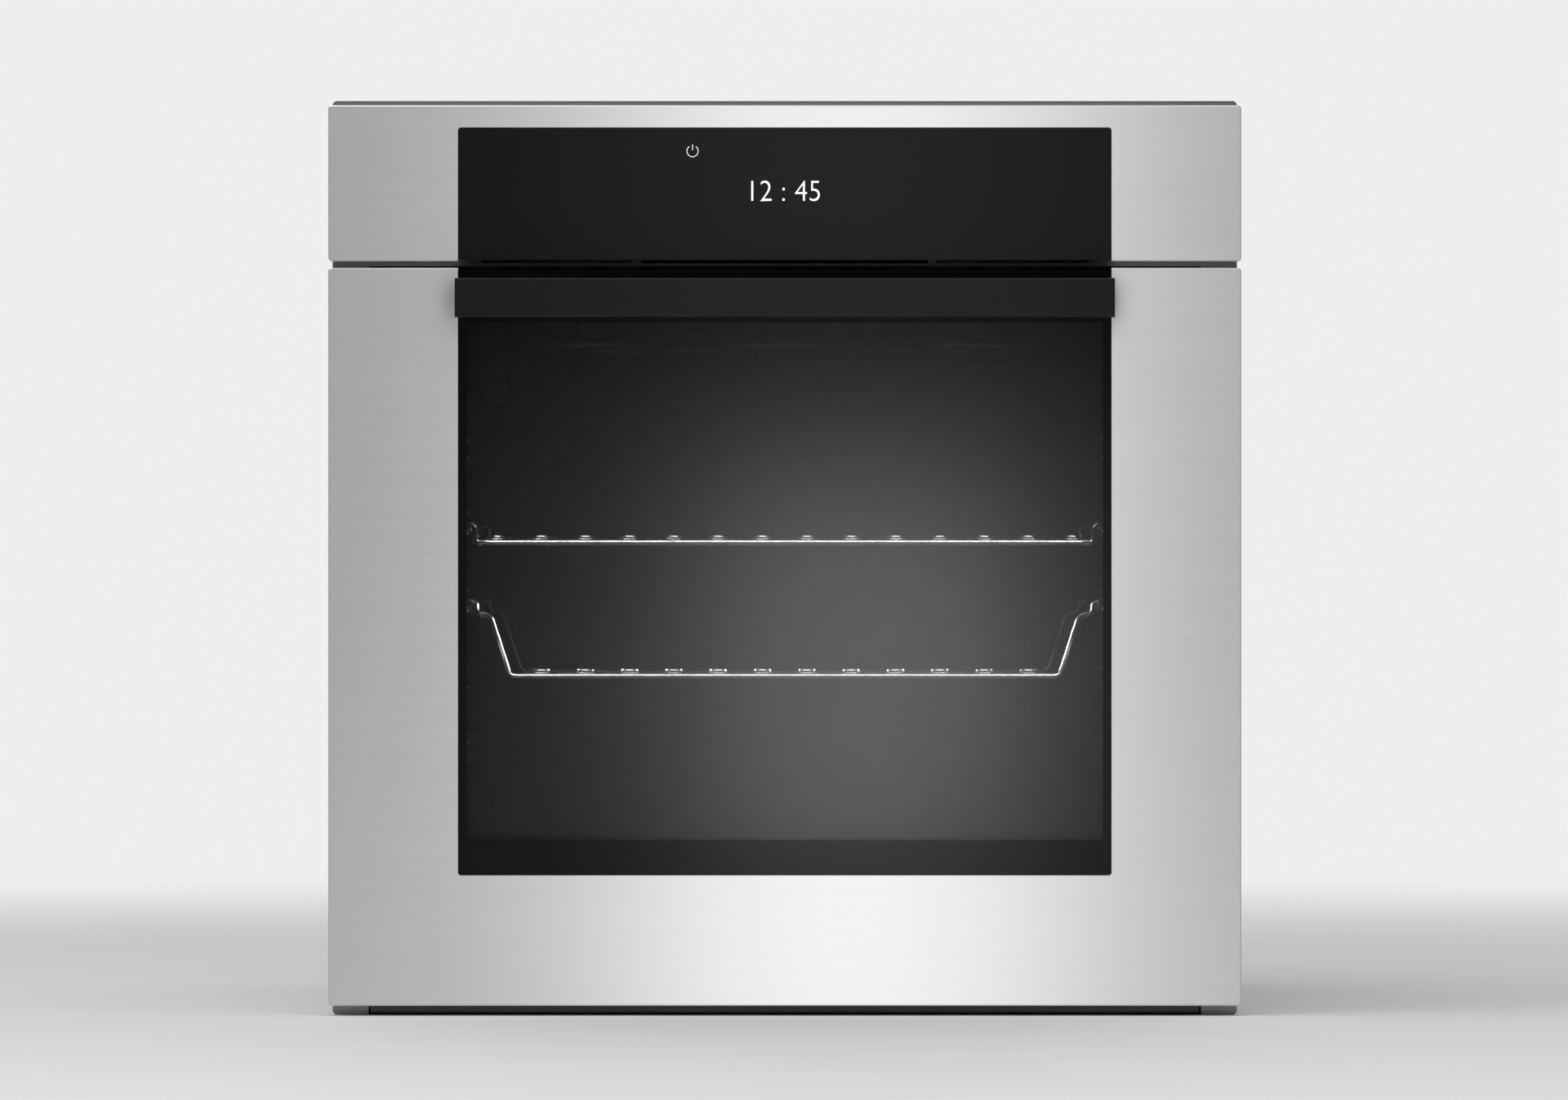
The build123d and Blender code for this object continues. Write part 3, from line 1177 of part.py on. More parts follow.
# Arm: eye on the pivot pin, lever pin for the rod, and a hook that drops behind the frame
with BuildPart() as hinge_arm:
    with BuildSketch(sideways(ARM_X - ARM_THICK / 2)):
        with Locations((y(HINGE_DEPTH), HINGE_Z)):
            Circle(EYE_R)
        with Locations((y(LEVER_DEPTH), LEVER_Z)):
            Circle(EYE_R)
        with BuildLine():
            Polyline(
                (y(HINGE_DEPTH) - EYE_R / sqrt(2), HINGE_Z + EYE_R / sqrt(2)),
                (y(HINGE_DEPTH) + EYE_R / sqrt(2), HINGE_Z - EYE_R / sqrt(2)),
                (y(LEVER_DEPTH) + EYE_R / sqrt(2), LEVER_Z - EYE_R / sqrt(2)),
                (y(LEVER_DEPTH) - EYE_R / sqrt(2), LEVER_Z + EYE_R / sqrt(2)),
                close=True,
            )
        make_face()
        rectangle_between((y(LEVER_DEPTH), HINGE_Z + ARM_LOW), (y(ARM_REACH - 4), HINGE_Z + ARM_HIGH))
        rectangle_between(
            (y(FRAME_FLOOR_BACK + 2), HINGE_Z + ARM_LOW - 5),
            (y(FRAME_FLOOR_BACK + 8), HINGE_Z + ARM_HIGH),
        )
    extrude(amount=ARM_THICK)
    with BuildSketch(sideways(HINGE_X - CHANNEL_HALF)):
        with Locations((y(HINGE_DEPTH), HINGE_Z)):
            Circle(HINGE_PIN_R)
    extrude(amount=2 * CHANNEL_HALF)
    with BuildSketch(sideways(ARM_X)):
        with Locations((y(LEVER_DEPTH), LEVER_Z)):
            Circle(LEVER_PIN_R)
    extrude(amount=HINGE_X + ROD_PLATE + 1 - ARM_X)
save_pair("hinge_arm", hinge_arm.part)

# Pull rods: slotted plate on the lever pin, and a round rod through the spring to a nut
with BuildPart() as hinge_rods:
    lever_swing = LEVER_R - LEVER_OUT
    slot_middle = LEVER_DEPTH + lever_swing / 2
    slot_half = lever_swing / 2 + LEVER_PIN_R + SEAT_GAP
    slot_rise = LEVER_PIN_R + ROD_PLAY
    with BuildSketch(sideways(HINGE_X)):
        rectangle_between(
            (y(slot_middle - slot_half - 2.5), LEVER_Z - slot_rise - 2.5),
            (y(slot_middle + slot_half + 1.5), 70),
        )
        rectangle_between(
            (y(slot_middle - slot_half), LEVER_Z - slot_rise),
            (y(slot_middle + slot_half), LEVER_Z + slot_rise),
            mode=Mode.SUBTRACT,
        )
    extrude(amount=ROD_PLATE)
    with BuildSketch(Plane.XY.offset(64)):
        with Locations((ROD_X, y(ROD_DEPTH))):
            RegularPolygon(ROD_R, SMALL_SIDES)
    extrude(amount=SPRING_TOP + 14 - 64)
    with BuildSketch(Plane.XY.offset(SPRING_TOP)):
        with Locations((ROD_X, y(ROD_DEPTH))):
            RegularPolygon(SPRING_R, 6)
    extrude(amount=4)
    mirror(hinge_rods.part, about=Plane.YZ)
save("hinge_rods", hinge_rods.part)

# Closed-wound door springs, as sleeves between the channel's shelf and the rod's nut
with BuildPart() as hinge_springs:
    with BuildSketch(Plane.XY.offset(SPRING_BOTTOM)):
        with Locations((ROD_X, y(ROD_DEPTH)), (-ROD_X, y(ROD_DEPTH))):
            RegularPolygon(SPRING_R, ROUND_SIDES)
            RegularPolygon(SPRING_R - SPRING_WALL, ROUND_SIDES, mode=Mode.SUBTRACT)
    extrude(amount=SPRING_TOP - SPRING_BOTTOM)
save("hinge_springs", hinge_springs.part)
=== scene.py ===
"""Looks of the built-in wall oven.

Finishes, round wires, clock figures, screw heads, springs and a plain studio, all of them around
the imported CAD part.
"""

import json
import logging
import math
from dataclasses import dataclass, field
from enum import Enum
from typing import Iterator, Sequence

import bmesh
import bpy
from mathutils import Euler, Matrix, Vector


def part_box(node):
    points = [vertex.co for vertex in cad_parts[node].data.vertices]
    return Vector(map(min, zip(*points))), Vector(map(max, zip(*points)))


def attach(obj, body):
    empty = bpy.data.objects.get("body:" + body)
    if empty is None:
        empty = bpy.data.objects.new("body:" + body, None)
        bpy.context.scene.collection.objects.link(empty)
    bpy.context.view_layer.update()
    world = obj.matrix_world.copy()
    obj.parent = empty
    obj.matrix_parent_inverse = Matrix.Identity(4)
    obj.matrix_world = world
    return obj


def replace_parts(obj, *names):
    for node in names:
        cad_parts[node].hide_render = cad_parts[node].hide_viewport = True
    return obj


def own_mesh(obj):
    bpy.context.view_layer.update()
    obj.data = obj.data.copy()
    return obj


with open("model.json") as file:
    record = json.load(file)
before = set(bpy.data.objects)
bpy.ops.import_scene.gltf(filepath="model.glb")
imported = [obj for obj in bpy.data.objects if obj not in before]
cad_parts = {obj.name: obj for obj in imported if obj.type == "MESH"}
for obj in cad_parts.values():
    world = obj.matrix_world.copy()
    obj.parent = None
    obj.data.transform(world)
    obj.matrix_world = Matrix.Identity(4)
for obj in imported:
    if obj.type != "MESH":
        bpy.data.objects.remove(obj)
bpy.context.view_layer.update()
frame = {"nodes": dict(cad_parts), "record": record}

LOG = logging.getLogger("oven")

Point = tuple[float, float, float]
Colour = tuple[float, float, float]

MM = 0.001
FRAME_LIP = 1.0  # millimetres of the front frame that stand before the cabinet plane
FACE_LIP = 22.0  # millimetres from the cabinet plane out to the door's face

CABINET_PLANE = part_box("front_frame")[0][1] + FRAME_LIP * MM
"""Y of the cabinet plane, from which all depths below are measured."""

DOOR_FACE = CABINET_PLANE - FACE_LIP * MM
"""Y of the door's face."""

BEND_STEPS = 6  # straight pieces in a wire's bend
LONGEST_BEND = 0.48  # most of a run that one bend may take
WIRE_SIDES = 12
SPRING_SIDES = 6
SMOOTH_ANGLE = math.radians(40)  # sharper edges stay sharp

HEAD_SIDES = 20
HEAD_ROUND_STEPS = 3
HEAD_ROUND = 0.5  # share of the head's height
SOCKET_DEPTH = 0.4  # share of the head's height
SOCKET_RIM = 0.55  # share of the head's radius
SOCKET_TAPER = 0.04  # share of the head's radius

RAMP_STOPS = (0.3, 0.7)  # middle part of the pattern, which the colours spread over
RELIEF_DEPTH = 0.2 * MM
NOISE_DETAIL = 3.0
GLASS_NOISE = 7.0  # scale of the slight clouds in a pane
GLASS_SPREAD = 0.1  # share that a pane's colour strays by
GLASS_GLOSS_SPREAD = 0.02


def at(x_mm: float, depth_mm: float, z_mm: float) -> Vector:
    """Point of the frame from millimetres: x, depth behind the cabinet plane, and height."""
    return Vector((x_mm * MM, CABINET_PLANE + depth_mm * MM, z_mm * MM))


class Grain(Enum):
    """How a finish varies over its surface: the noise scale along X, Y and Z."""

    BRUSHED = (6.0, 900.0, 900.0)
    ROLLED = (14.0, 14.0, 220.0)
    CLOUDY = (9.0, 9.0, 9.0)
    SPANGLED = (170.0, 170.0, 170.0)
    FINE = (160.0, 160.0, 160.0)
    WOOLLY = (60.0, 60.0, 60.0)


@dataclass(frozen=True)
class Finish:
    """Opaque finish with a procedural variation of its colour, gloss and surface.

    Attributes:
        name: Name of the finish.
        colour: Linear base colour.
        roughness: Middle of the roughness variation.
        metallic: 1 for bare metal, 0 for anything else.
        grain: Kind of variation.
        spread: How far the colour strays from its middle, as a share.
        gloss_spread: How far the roughness strays from its middle.
        bump: Strength of the surface relief.
        ior: Refractive index, which sets how much a non-metal reflects.
        coat: Weight of a clear gloss coat.
    """

    name: str
    colour: Colour
    roughness: float
    metallic: float = 0.0
    grain: Grain = Grain.FINE
    spread: float = 0.06
    gloss_spread: float = 0.04
    bump: float = 0.0
    ior: float = 1.45
    coat: float = 0.0

    def material(self) -> bpy.types.Material:
        """Makes the material, or gives the one made before.

        Returns:
            The Blender material of this finish.
        """
        made = bpy.data.materials.get(f"look_{self.name}")
        if made:
            return made
        made = bpy.data.materials.new(f"look_{self.name}")
        made.use_nodes = True
        tree = made.node_tree
        shader = tree.nodes["Principled BSDF"]
        shader.inputs["Metallic"].default_value = self.metallic
        shader.inputs["IOR"].default_value = self.ior
        shader.inputs["Coat Weight"].default_value = self.coat
        pattern = self._variation(tree)
        dark = tuple(part * (1.0 - self.spread) for part in self.colour)
        light = tuple(min(1.0, part * (1.0 + self.spread)) for part in self.colour)
        ramp = tree.nodes.new("ShaderNodeValToRGB")
        for stop, position, tone in zip(ramp.color_ramp.elements, RAMP_STOPS, (dark, light)):
            stop.position = position
            stop.color = (*tone, 1.0)
        tree.links.new(pattern, ramp.inputs["Fac"])
        tree.links.new(ramp.outputs["Color"], shader.inputs["Base Color"])
        gloss = tree.nodes.new("ShaderNodeMapRange")
        gloss.inputs["To Min"].default_value = self.roughness - self.gloss_spread
        gloss.inputs["To Max"].default_value = self.roughness + self.gloss_spread
        tree.links.new(pattern, gloss.inputs["Value"])
        tree.links.new(gloss.outputs["Result"], shader.inputs["Roughness"])
        if self.bump:
            relief = tree.nodes.new("ShaderNodeBump")
            relief.inputs["Strength"].default_value = self.bump
            relief.inputs["Distance"].default_value = RELIEF_DEPTH
            tree.links.new(pattern, relief.inputs["Height"])
            tree.links.new(relief.outputs["Normal"], shader.inputs["Normal"])
        return made

    def _variation(self, tree: bpy.types.NodeTree) -> bpy.types.NodeSocket:
        """Adds the pattern that all the variation reads: crystals on zinc, noise elsewhere.

        Args:
            tree: Node tree of the material.

        Returns:
            The pattern's output.
        """
        place = tree.nodes.new("ShaderNodeTexCoord")
        stretch = tree.nodes.new("ShaderNodeMapping")
        stretch.inputs["Scale"].default_value = self.grain.value
        spangled = self.grain is Grain.SPANGLED
        pattern = tree.nodes.new("ShaderNodeTexVoronoi" if spangled else "ShaderNodeTexNoise")
        pattern.inputs["Scale"].default_value = 1.0
        pattern.inputs["Detail"].default_value = 0.0 if spangled else NOISE_DETAIL
        tree.links.new(place.outputs["Object"], stretch.inputs["Vector"])
        tree.links.new(stretch.outputs["Vector"], pattern.inputs["Vector"])
        return pattern.outputs["Color" if spangled else "Fac"]


@dataclass(frozen=True)
class PaneFinish:
    """Dark glass that shows what is behind it inside a printed border.

    Attributes:
        name: Name of the finish.
        colour: Linear colour of the glass body.
        cover: Share of the light that the clear part stops.
        roughness: Spread of the reflections.
        ior: Refractive index, which sets how much the pane reflects.
        clear: Clear part as (half width, lowest, highest) in millimetres, or None for a pane
            with no border.
    """

    name: str
    colour: Colour
    cover: float
    roughness: float = 0.22
    ior: float = 1.35
    clear: tuple[float, float, float] | None = None

    def material(self) -> bpy.types.Material:
        """Makes the material, or gives the one made before.

        Returns:
            The Blender material of this pane.
        """
        made = bpy.data.materials.get(f"look_{self.name}")
        if made:
            return made
        made = bpy.data.materials.new(f"look_{self.name}")
        made.use_nodes = True
        tree = made.node_tree
        shader = tree.nodes["Principled BSDF"]
        shader.inputs["IOR"].default_value = self.ior
        place = tree.nodes.new("ShaderNodeTexCoord")
        noise = tree.nodes.new("ShaderNodeTexNoise")
        noise.inputs["Scale"].default_value = GLASS_NOISE
        tree.links.new(place.outputs["Object"], noise.inputs["Vector"])
        tint = tree.nodes.new("ShaderNodeValToRGB")
        for stop, share in zip(tint.color_ramp.elements, (1.0 - GLASS_SPREAD, 1.0 + GLASS_SPREAD)):
            stop.color = (*(part * share for part in self.colour), 1.0)
        tree.links.new(noise.outputs["Fac"], tint.inputs["Fac"])
        tree.links.new(tint.outputs["Color"], shader.inputs["Base Color"])
        gloss = tree.nodes.new("ShaderNodeMapRange")
        gloss.inputs["To Min"].default_value = self.roughness - GLASS_GLOSS_SPREAD
        gloss.inputs["To Max"].default_value = self.roughness + GLASS_GLOSS_SPREAD
        tree.links.new(noise.outputs["Fac"], gloss.inputs["Value"])
        tree.links.new(gloss.outputs["Result"], shader.inputs["Roughness"])
        if self.clear is None:
            shader.inputs["Alpha"].default_value = self.cover
        else:
            tree.links.new(self._border(tree, place).outputs["Result"], shader.inputs["Alpha"])
        return made

    def _border(self, tree: bpy.types.NodeTree, place: bpy.types.Node) -> bpy.types.Node:
        """Adds the printed border: 1 outside the clear part, and the cover inside it.

        Args:
            tree: Node tree of the material.
            place: Texture Coordinate node.

        Returns:
            The node whose Result is the alpha.
        """
        half, low, high = self.clear
        parts = tree.nodes.new("ShaderNodeSeparateXYZ")
        tree.links.new(place.outputs["Object"], parts.inputs["Vector"])
        tests = []
        spans = (("X", 0.0, half), ("Z", (low + high) / 2, (high - low) / 2))
        for axis, centre, reach in spans:
            inside = tree.nodes.new("ShaderNodeMath")
            inside.operation = "COMPARE"
            inside.inputs[1].default_value = centre * MM
            inside.inputs[2].default_value = reach * MM
            tree.links.new(parts.outputs[axis], inside.inputs[0])
            tests.append(inside)
        both = tree.nodes.new("ShaderNodeMath")
        both.operation = "MULTIPLY"
        tree.links.new(tests[0].outputs["Value"], both.inputs[0])
        tree.links.new(tests[1].outputs["Value"], both.inputs[1])
        alpha = tree.nodes.new("ShaderNodeMapRange")
        alpha.inputs["To Min"].default_value = 1.0
        alpha.inputs["To Max"].default_value = self.cover
        tree.links.new(both.outputs["Value"], alpha.inputs["Value"])
        return alpha


STEEL = Finish("brushed_steel", (0.66, 0.66, 0.655), 0.34, 1.0, Grain.BRUSHED, 0.015, 0.02, 0.01)
FRAME_GREY = Finish("frame_grey", (0.36, 0.36, 0.365), 0.42, 1.0, Grain.CLOUDY)
# Door recess: steel painted dark, as painted shade for the shadow that falls in the recess.
RECESS_PAINTED_SHADE = Finish("recess_painted_shade", (0.1, 0.1, 0.102), 0.4, 1.0, Grain.CLOUDY)
TRIM_DARK = Finish("trim_dark", (0.03, 0.03, 0.032), 0.18, 0.0, Grain.CLOUDY, 0.1, 0.03, coat=0.5)
ZINC = Finish("zinc_sheet", (0.56, 0.58, 0.6), 0.4, 1.0, Grain.SPANGLED, 0.05, 0.04)
ENAMEL = Finish("enamel", (0.035, 0.035, 0.038), 0.2, 0.0, Grain.FINE, 0.35, 0.05, 0.05)
CHROME = Finish("wire_chrome", (0.78, 0.78, 0.78), 0.16, 1.0, Grain.FINE, 0.04, 0.03)
HEATER = Finish("heater_tube", (0.12, 0.11, 0.1), 0.45, 1.0, Grain.CLOUDY, 0.3)
SEAL = Finish("seal_rubber", (0.03, 0.03, 0.03), 0.6, 0.0, Grain.FINE, 0.2)
HANDLE_BLACK = Finish(
    "handle_black", (0.006, 0.006, 0.006), 0.42, 0.0, Grain.FINE, 0.12, 0.04, 0.02, 1.3
)
BLACK_PLASTIC = Finish(
    "black_plastic", (0.022, 0.022, 0.022), 0.5, 0.0, Grain.FINE, 0.15, 0.05, 0.1
)
CERAMIC = Finish("white_ceramic", (0.72, 0.7, 0.65), 0.55, 0.0, Grain.CLOUDY, 0.05)
BOARD = Finish("board_green", (0.03, 0.14, 0.07), 0.4, 0.0, Grain.CLOUDY, 0.2)
MOTOR = Finish("motor_steel", (0.4, 0.4, 0.4), 0.4, 1.0, Grain.ROLLED, 0.1)
BLANKET = Finish("blanket", (0.62, 0.58, 0.4), 0.9, 0.0, Grain.WOOLLY, 0.2, 0.05, 0.6)
HINGE_STEEL = Finish("hinge_steel", (0.5, 0.5, 0.51), 0.34, 1.0, Grain.ROLLED, 0.08)
# Fan steel painted near black: painted shade for the dark behind the fan cover, not the steel's own
# colour.
FAN_STEEL_PAINTED_SHADE = Finish("fan_steel", (0.035, 0.034, 0.033), 0.6, 1.0, Grain.CLOUDY, 0.12)
LENS = PaneFinish("lens_glass", (0.1, 0.1, 0.1), 0.3, 0.12, 1.45)
BULB = PaneFinish("bulb_glass", (0.85, 0.83, 0.78), 0.6, 0.3, 1.45)
CONTROL_BLACK = PaneFinish("control_black", (0.004, 0.004, 0.004), 1.0, 0.38, 1.3)
OUTER_GLASS = PaneFinish(
    "outer_glass", (0.002, 0.002, 0.002), 0.16, 0.31, 1.3, (207.5, 114.0, 452.0)
)
INNER_GLASS = PaneFinish("door_glass", (0.003, 0.003, 0.003), 0.12, 0.31, 2.3)
FLOOR = Finish("floor_pale", (0.78, 0.78, 0.775), 0.75, 0.0, Grain.CLOUDY, 0.01, 0.05)

SLOT_FINISHES: dict[str, Finish | PaneFinish] = {
    "steel_front": STEEL,
    "frame_grey": FRAME_GREY,
    "trim_dark": TRIM_DARK,
    "zinc_sheet": ZINC,
    "enamel": ENAMEL,
    "wire_chrome": CHROME,
    "heater_tube": HEATER,
    "control_black": CONTROL_BLACK,
    "door_glass": INNER_GLASS,
    "seal_rubber": SEAL,
    "handle_black": HANDLE_BLACK,
    "black_plastic": BLACK_PLASTIC,
    "white_ceramic": CERAMIC,
    "board_green": BOARD,
    "motor_steel": MOTOR,
    "blanket": BLANKET,
    "hinge_steel": HINGE_STEEL,
    "fan_steel": FAN_STEEL_PAINTED_SHADE,
    "bulb_glass": BULB,
    "lens_glass": LENS,
}
"""Finish of each material slot of the record."""

NODE_FINISHES: dict[str, Finish | PaneFinish] = {
    "outer_pane": OUTER_GLASS,
    "temperature_probe": HEATER,
    "door_recess": RECESS_PAINTED_SHADE,
}
"""Finish of the nodes that differ from the rest of their slot."""


@dataclass
class Piece:
    """Mesh under construction, which becomes one object that rides a body.

    Attributes:
        name: Name of the object.
        body: CAD body that it moves with.
        slot: Material slot of the record.
        mesh: The mesh itself.
    """

    name: str
    body: str
    slot: str
    mesh: bmesh.types.BMesh = field(default_factory=bmesh.new)

    def tube(
        self, route: Sequence[Vector], radius: float, bend: float = 0.0, sides: int = WIRE_SIDES
    ) -> None:
        """Adds a round wire: a circle pushed along the straight runs and spun round the bends.

        Args:
            route: Corner points.
            radius: Wire radius in metres.
            bend: Radius of the bends at the corners.
            sides: Sides of the wire.
        """
        rim = self._rim(route[0], route[1] - route[0], radius, sides)
        spot = route[0]
        for before, corner, after in zip(route, route[1:], route[2:]):
            back, ahead = before - corner, after - corner
            half = back.angle(ahead) / 2
            shorter = min(back.length, ahead.length)
            reach = min(bend / math.tan(half), LONGEST_BEND * shorter)
            back.normalize()
            ahead.normalize()
            rim = self._push(rim, corner + back * reach - spot)
            centre = corner + (back + ahead).normalized() * (reach / math.cos(half))
            rim = self._spin(rim, centre, ahead.cross(back), math.pi - 2 * half, BEND_STEPS)
            spot = corner + ahead * reach
        rim = self._push(rim, route[-1] - spot)
        bmesh.ops.edgeloop_fill(self.mesh, edges=rim)

    def coil(
        self, foot: Vector, size: tuple[float, float, float], turns: int, turn_steps: int
    ) -> None:
        """Adds an upright coil spring: a circle spun up a screw line.

        Args:
            foot: Middle of the lowest turn.
            size: Coil radius, wire radius and rise from the lowest to the highest end, in metres.
            turns: Number of turns.
            turn_steps: Straight pieces in a turn.
        """
        coil_radius, wire_radius, rise = size
        steps = turns * turn_steps
        heading = Vector((0.0, 2 * math.pi * coil_radius, rise / turns))
        start = foot + Vector((coil_radius, 0.0, 0.0))
        rim = self._rim(start, heading, wire_radius, SPRING_SIDES)
        upright, climb = Vector((0.0, 0.0, 1.0)), Vector((0.0, 0.0, rise / steps))
        rim = self._spin(rim, foot, upright, 2 * math.pi * turns, steps, climb)
        bmesh.ops.edgeloop_fill(self.mesh, edges=rim)

    def head(self, centre: Vector, outward: Vector, radius: float, height: float) -> None:
        """Adds a low screw head with a rounded edge and a socket.

        Args:
            centre: Middle of the head's foot.
            outward: Direction the head stands in.
            radius: Head radius in metres.
            height: Head height in metres.
        """
        made = bmesh.ops.create_cone(
            self.mesh,
            cap_ends=True,
            segments=HEAD_SIDES,
            radius1=radius,
            radius2=radius,
            depth=height,
            matrix=self._facing(centre + outward * height / 2, outward),
        )
        upper = [v for v in made["verts"] if (v.co - centre).dot(outward) > height / 2]
        top = next(face for face in upper[0].link_faces if all(v in upper for v in face.verts))
        bmesh.ops.inset_individual(self.mesh, faces=[top], thickness=radius * SOCKET_RIM)
        bmesh.ops.inset_individual(
            self.mesh, faces=[top], thickness=radius * SOCKET_TAPER, depth=-height * SOCKET_DEPTH
        )
        around = (edge for v in upper for edge in v.link_edges if edge.other_vert(v) in upper)
        bmesh.ops.bevel(
            self.mesh,
            geom=list(dict.fromkeys(around)),
            offset=height * HEAD_ROUND,
            offset_type="OFFSET",
            segments=HEAD_ROUND_STEPS,
            profile=0.5,
            affect="EDGES",
            material=-1,
        )

    @staticmethod
    def _facing(centre: Vector, heading: Vector) -> Matrix:
        """Gives the placement at a point with Z turned to a heading."""
        return Matrix.LocRotScale(centre, heading.to_track_quat("Z", "Y"), None)

    def _rim(
        self, centre: Vector, heading: Vector, radius: float, sides: int
    ) -> list[bmesh.types.BMEdge]:
        """Starts a wire with a closed circle across its heading.

        Args:
            centre: Middle of the circle.
            heading: Direction of the wire.
            radius: Wire radius in metres.
            sides: Sides of the wire.

        Returns:
            The circle's edges.
        """
        made = bmesh.ops.create_circle(
            self.mesh,
            cap_ends=True,
            radius=radius,
            segments=sides,
            matrix=self._facing(centre, heading),
        )
        return list(dict.fromkeys(edge for v in made["verts"] for edge in v.link_edges))

    def _push(self, rim: list[bmesh.types.BMEdge], step: Vector) -> list[bmesh.types.BMEdge]:
        """Pushes a wire's open end straight on.

        Args:
            rim: Edges of the open end.
            step: How far, and which way.

        Returns:
            Edges of the new end.
        """
        grown = bmesh.ops.extrude_edge_only(self.mesh, edges=rim)["geom"]
        corners = [part for part in grown if isinstance(part, bmesh.types.BMVert)]
        bmesh.ops.translate(self.mesh, vec=step, verts=corners)
        return [part for part in grown if isinstance(part, bmesh.types.BMEdge)]

    def _spin(
        self,
        rim: list[bmesh.types.BMEdge],
        centre: Vector,
        axis: Vector,
        angle: float,
        steps: int,
        climb: Vector = Vector(),
    ) -> list[bmesh.types.BMEdge]:
        """Turns a wire's open end about an axis.

        Args:
            rim: Edges of the open end.
            centre: Point of the axis.
            axis: Direction of the axis.
            angle: Angle to turn by.
            steps: Straight pieces of the turn.
            climb: Shift along the axis in each step.

        Returns:
            Edges of the new end.
        """
        made = bmesh.ops.spin(
            self.mesh,
            geom=rim,
            cent=centre,
            axis=axis.normalized(),
            dvec=climb,
            angle=angle,
            steps=steps,
        )
        return [part for part in made["geom_last"] if isinstance(part, bmesh.types.BMEdge)]

    def finish(self) -> bpy.types.Object:
        """Turns the mesh into an object, dresses it and lets it ride its body.

        Returns:
            The new object.
        """
        bmesh.ops.recalc_face_normals(self.mesh, faces=self.mesh.faces[:])
        data = bpy.data.meshes.new(self.name)
        self.mesh.to_mesh(data)
        self.mesh.free()
        data.shade_smooth()
        data.set_sharp_from_angle(angle=SMOOTH_ANGLE)
        made = bpy.data.objects.new(self.name, data)
        bpy.context.scene.collection.objects.link(made)
        data.materials.append(SLOT_FINISHES[self.slot].material())
        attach(made, self.body)
        LOG.info("%s: %d faces on %s", self.name, len(data.polygons), self.body)
        return made


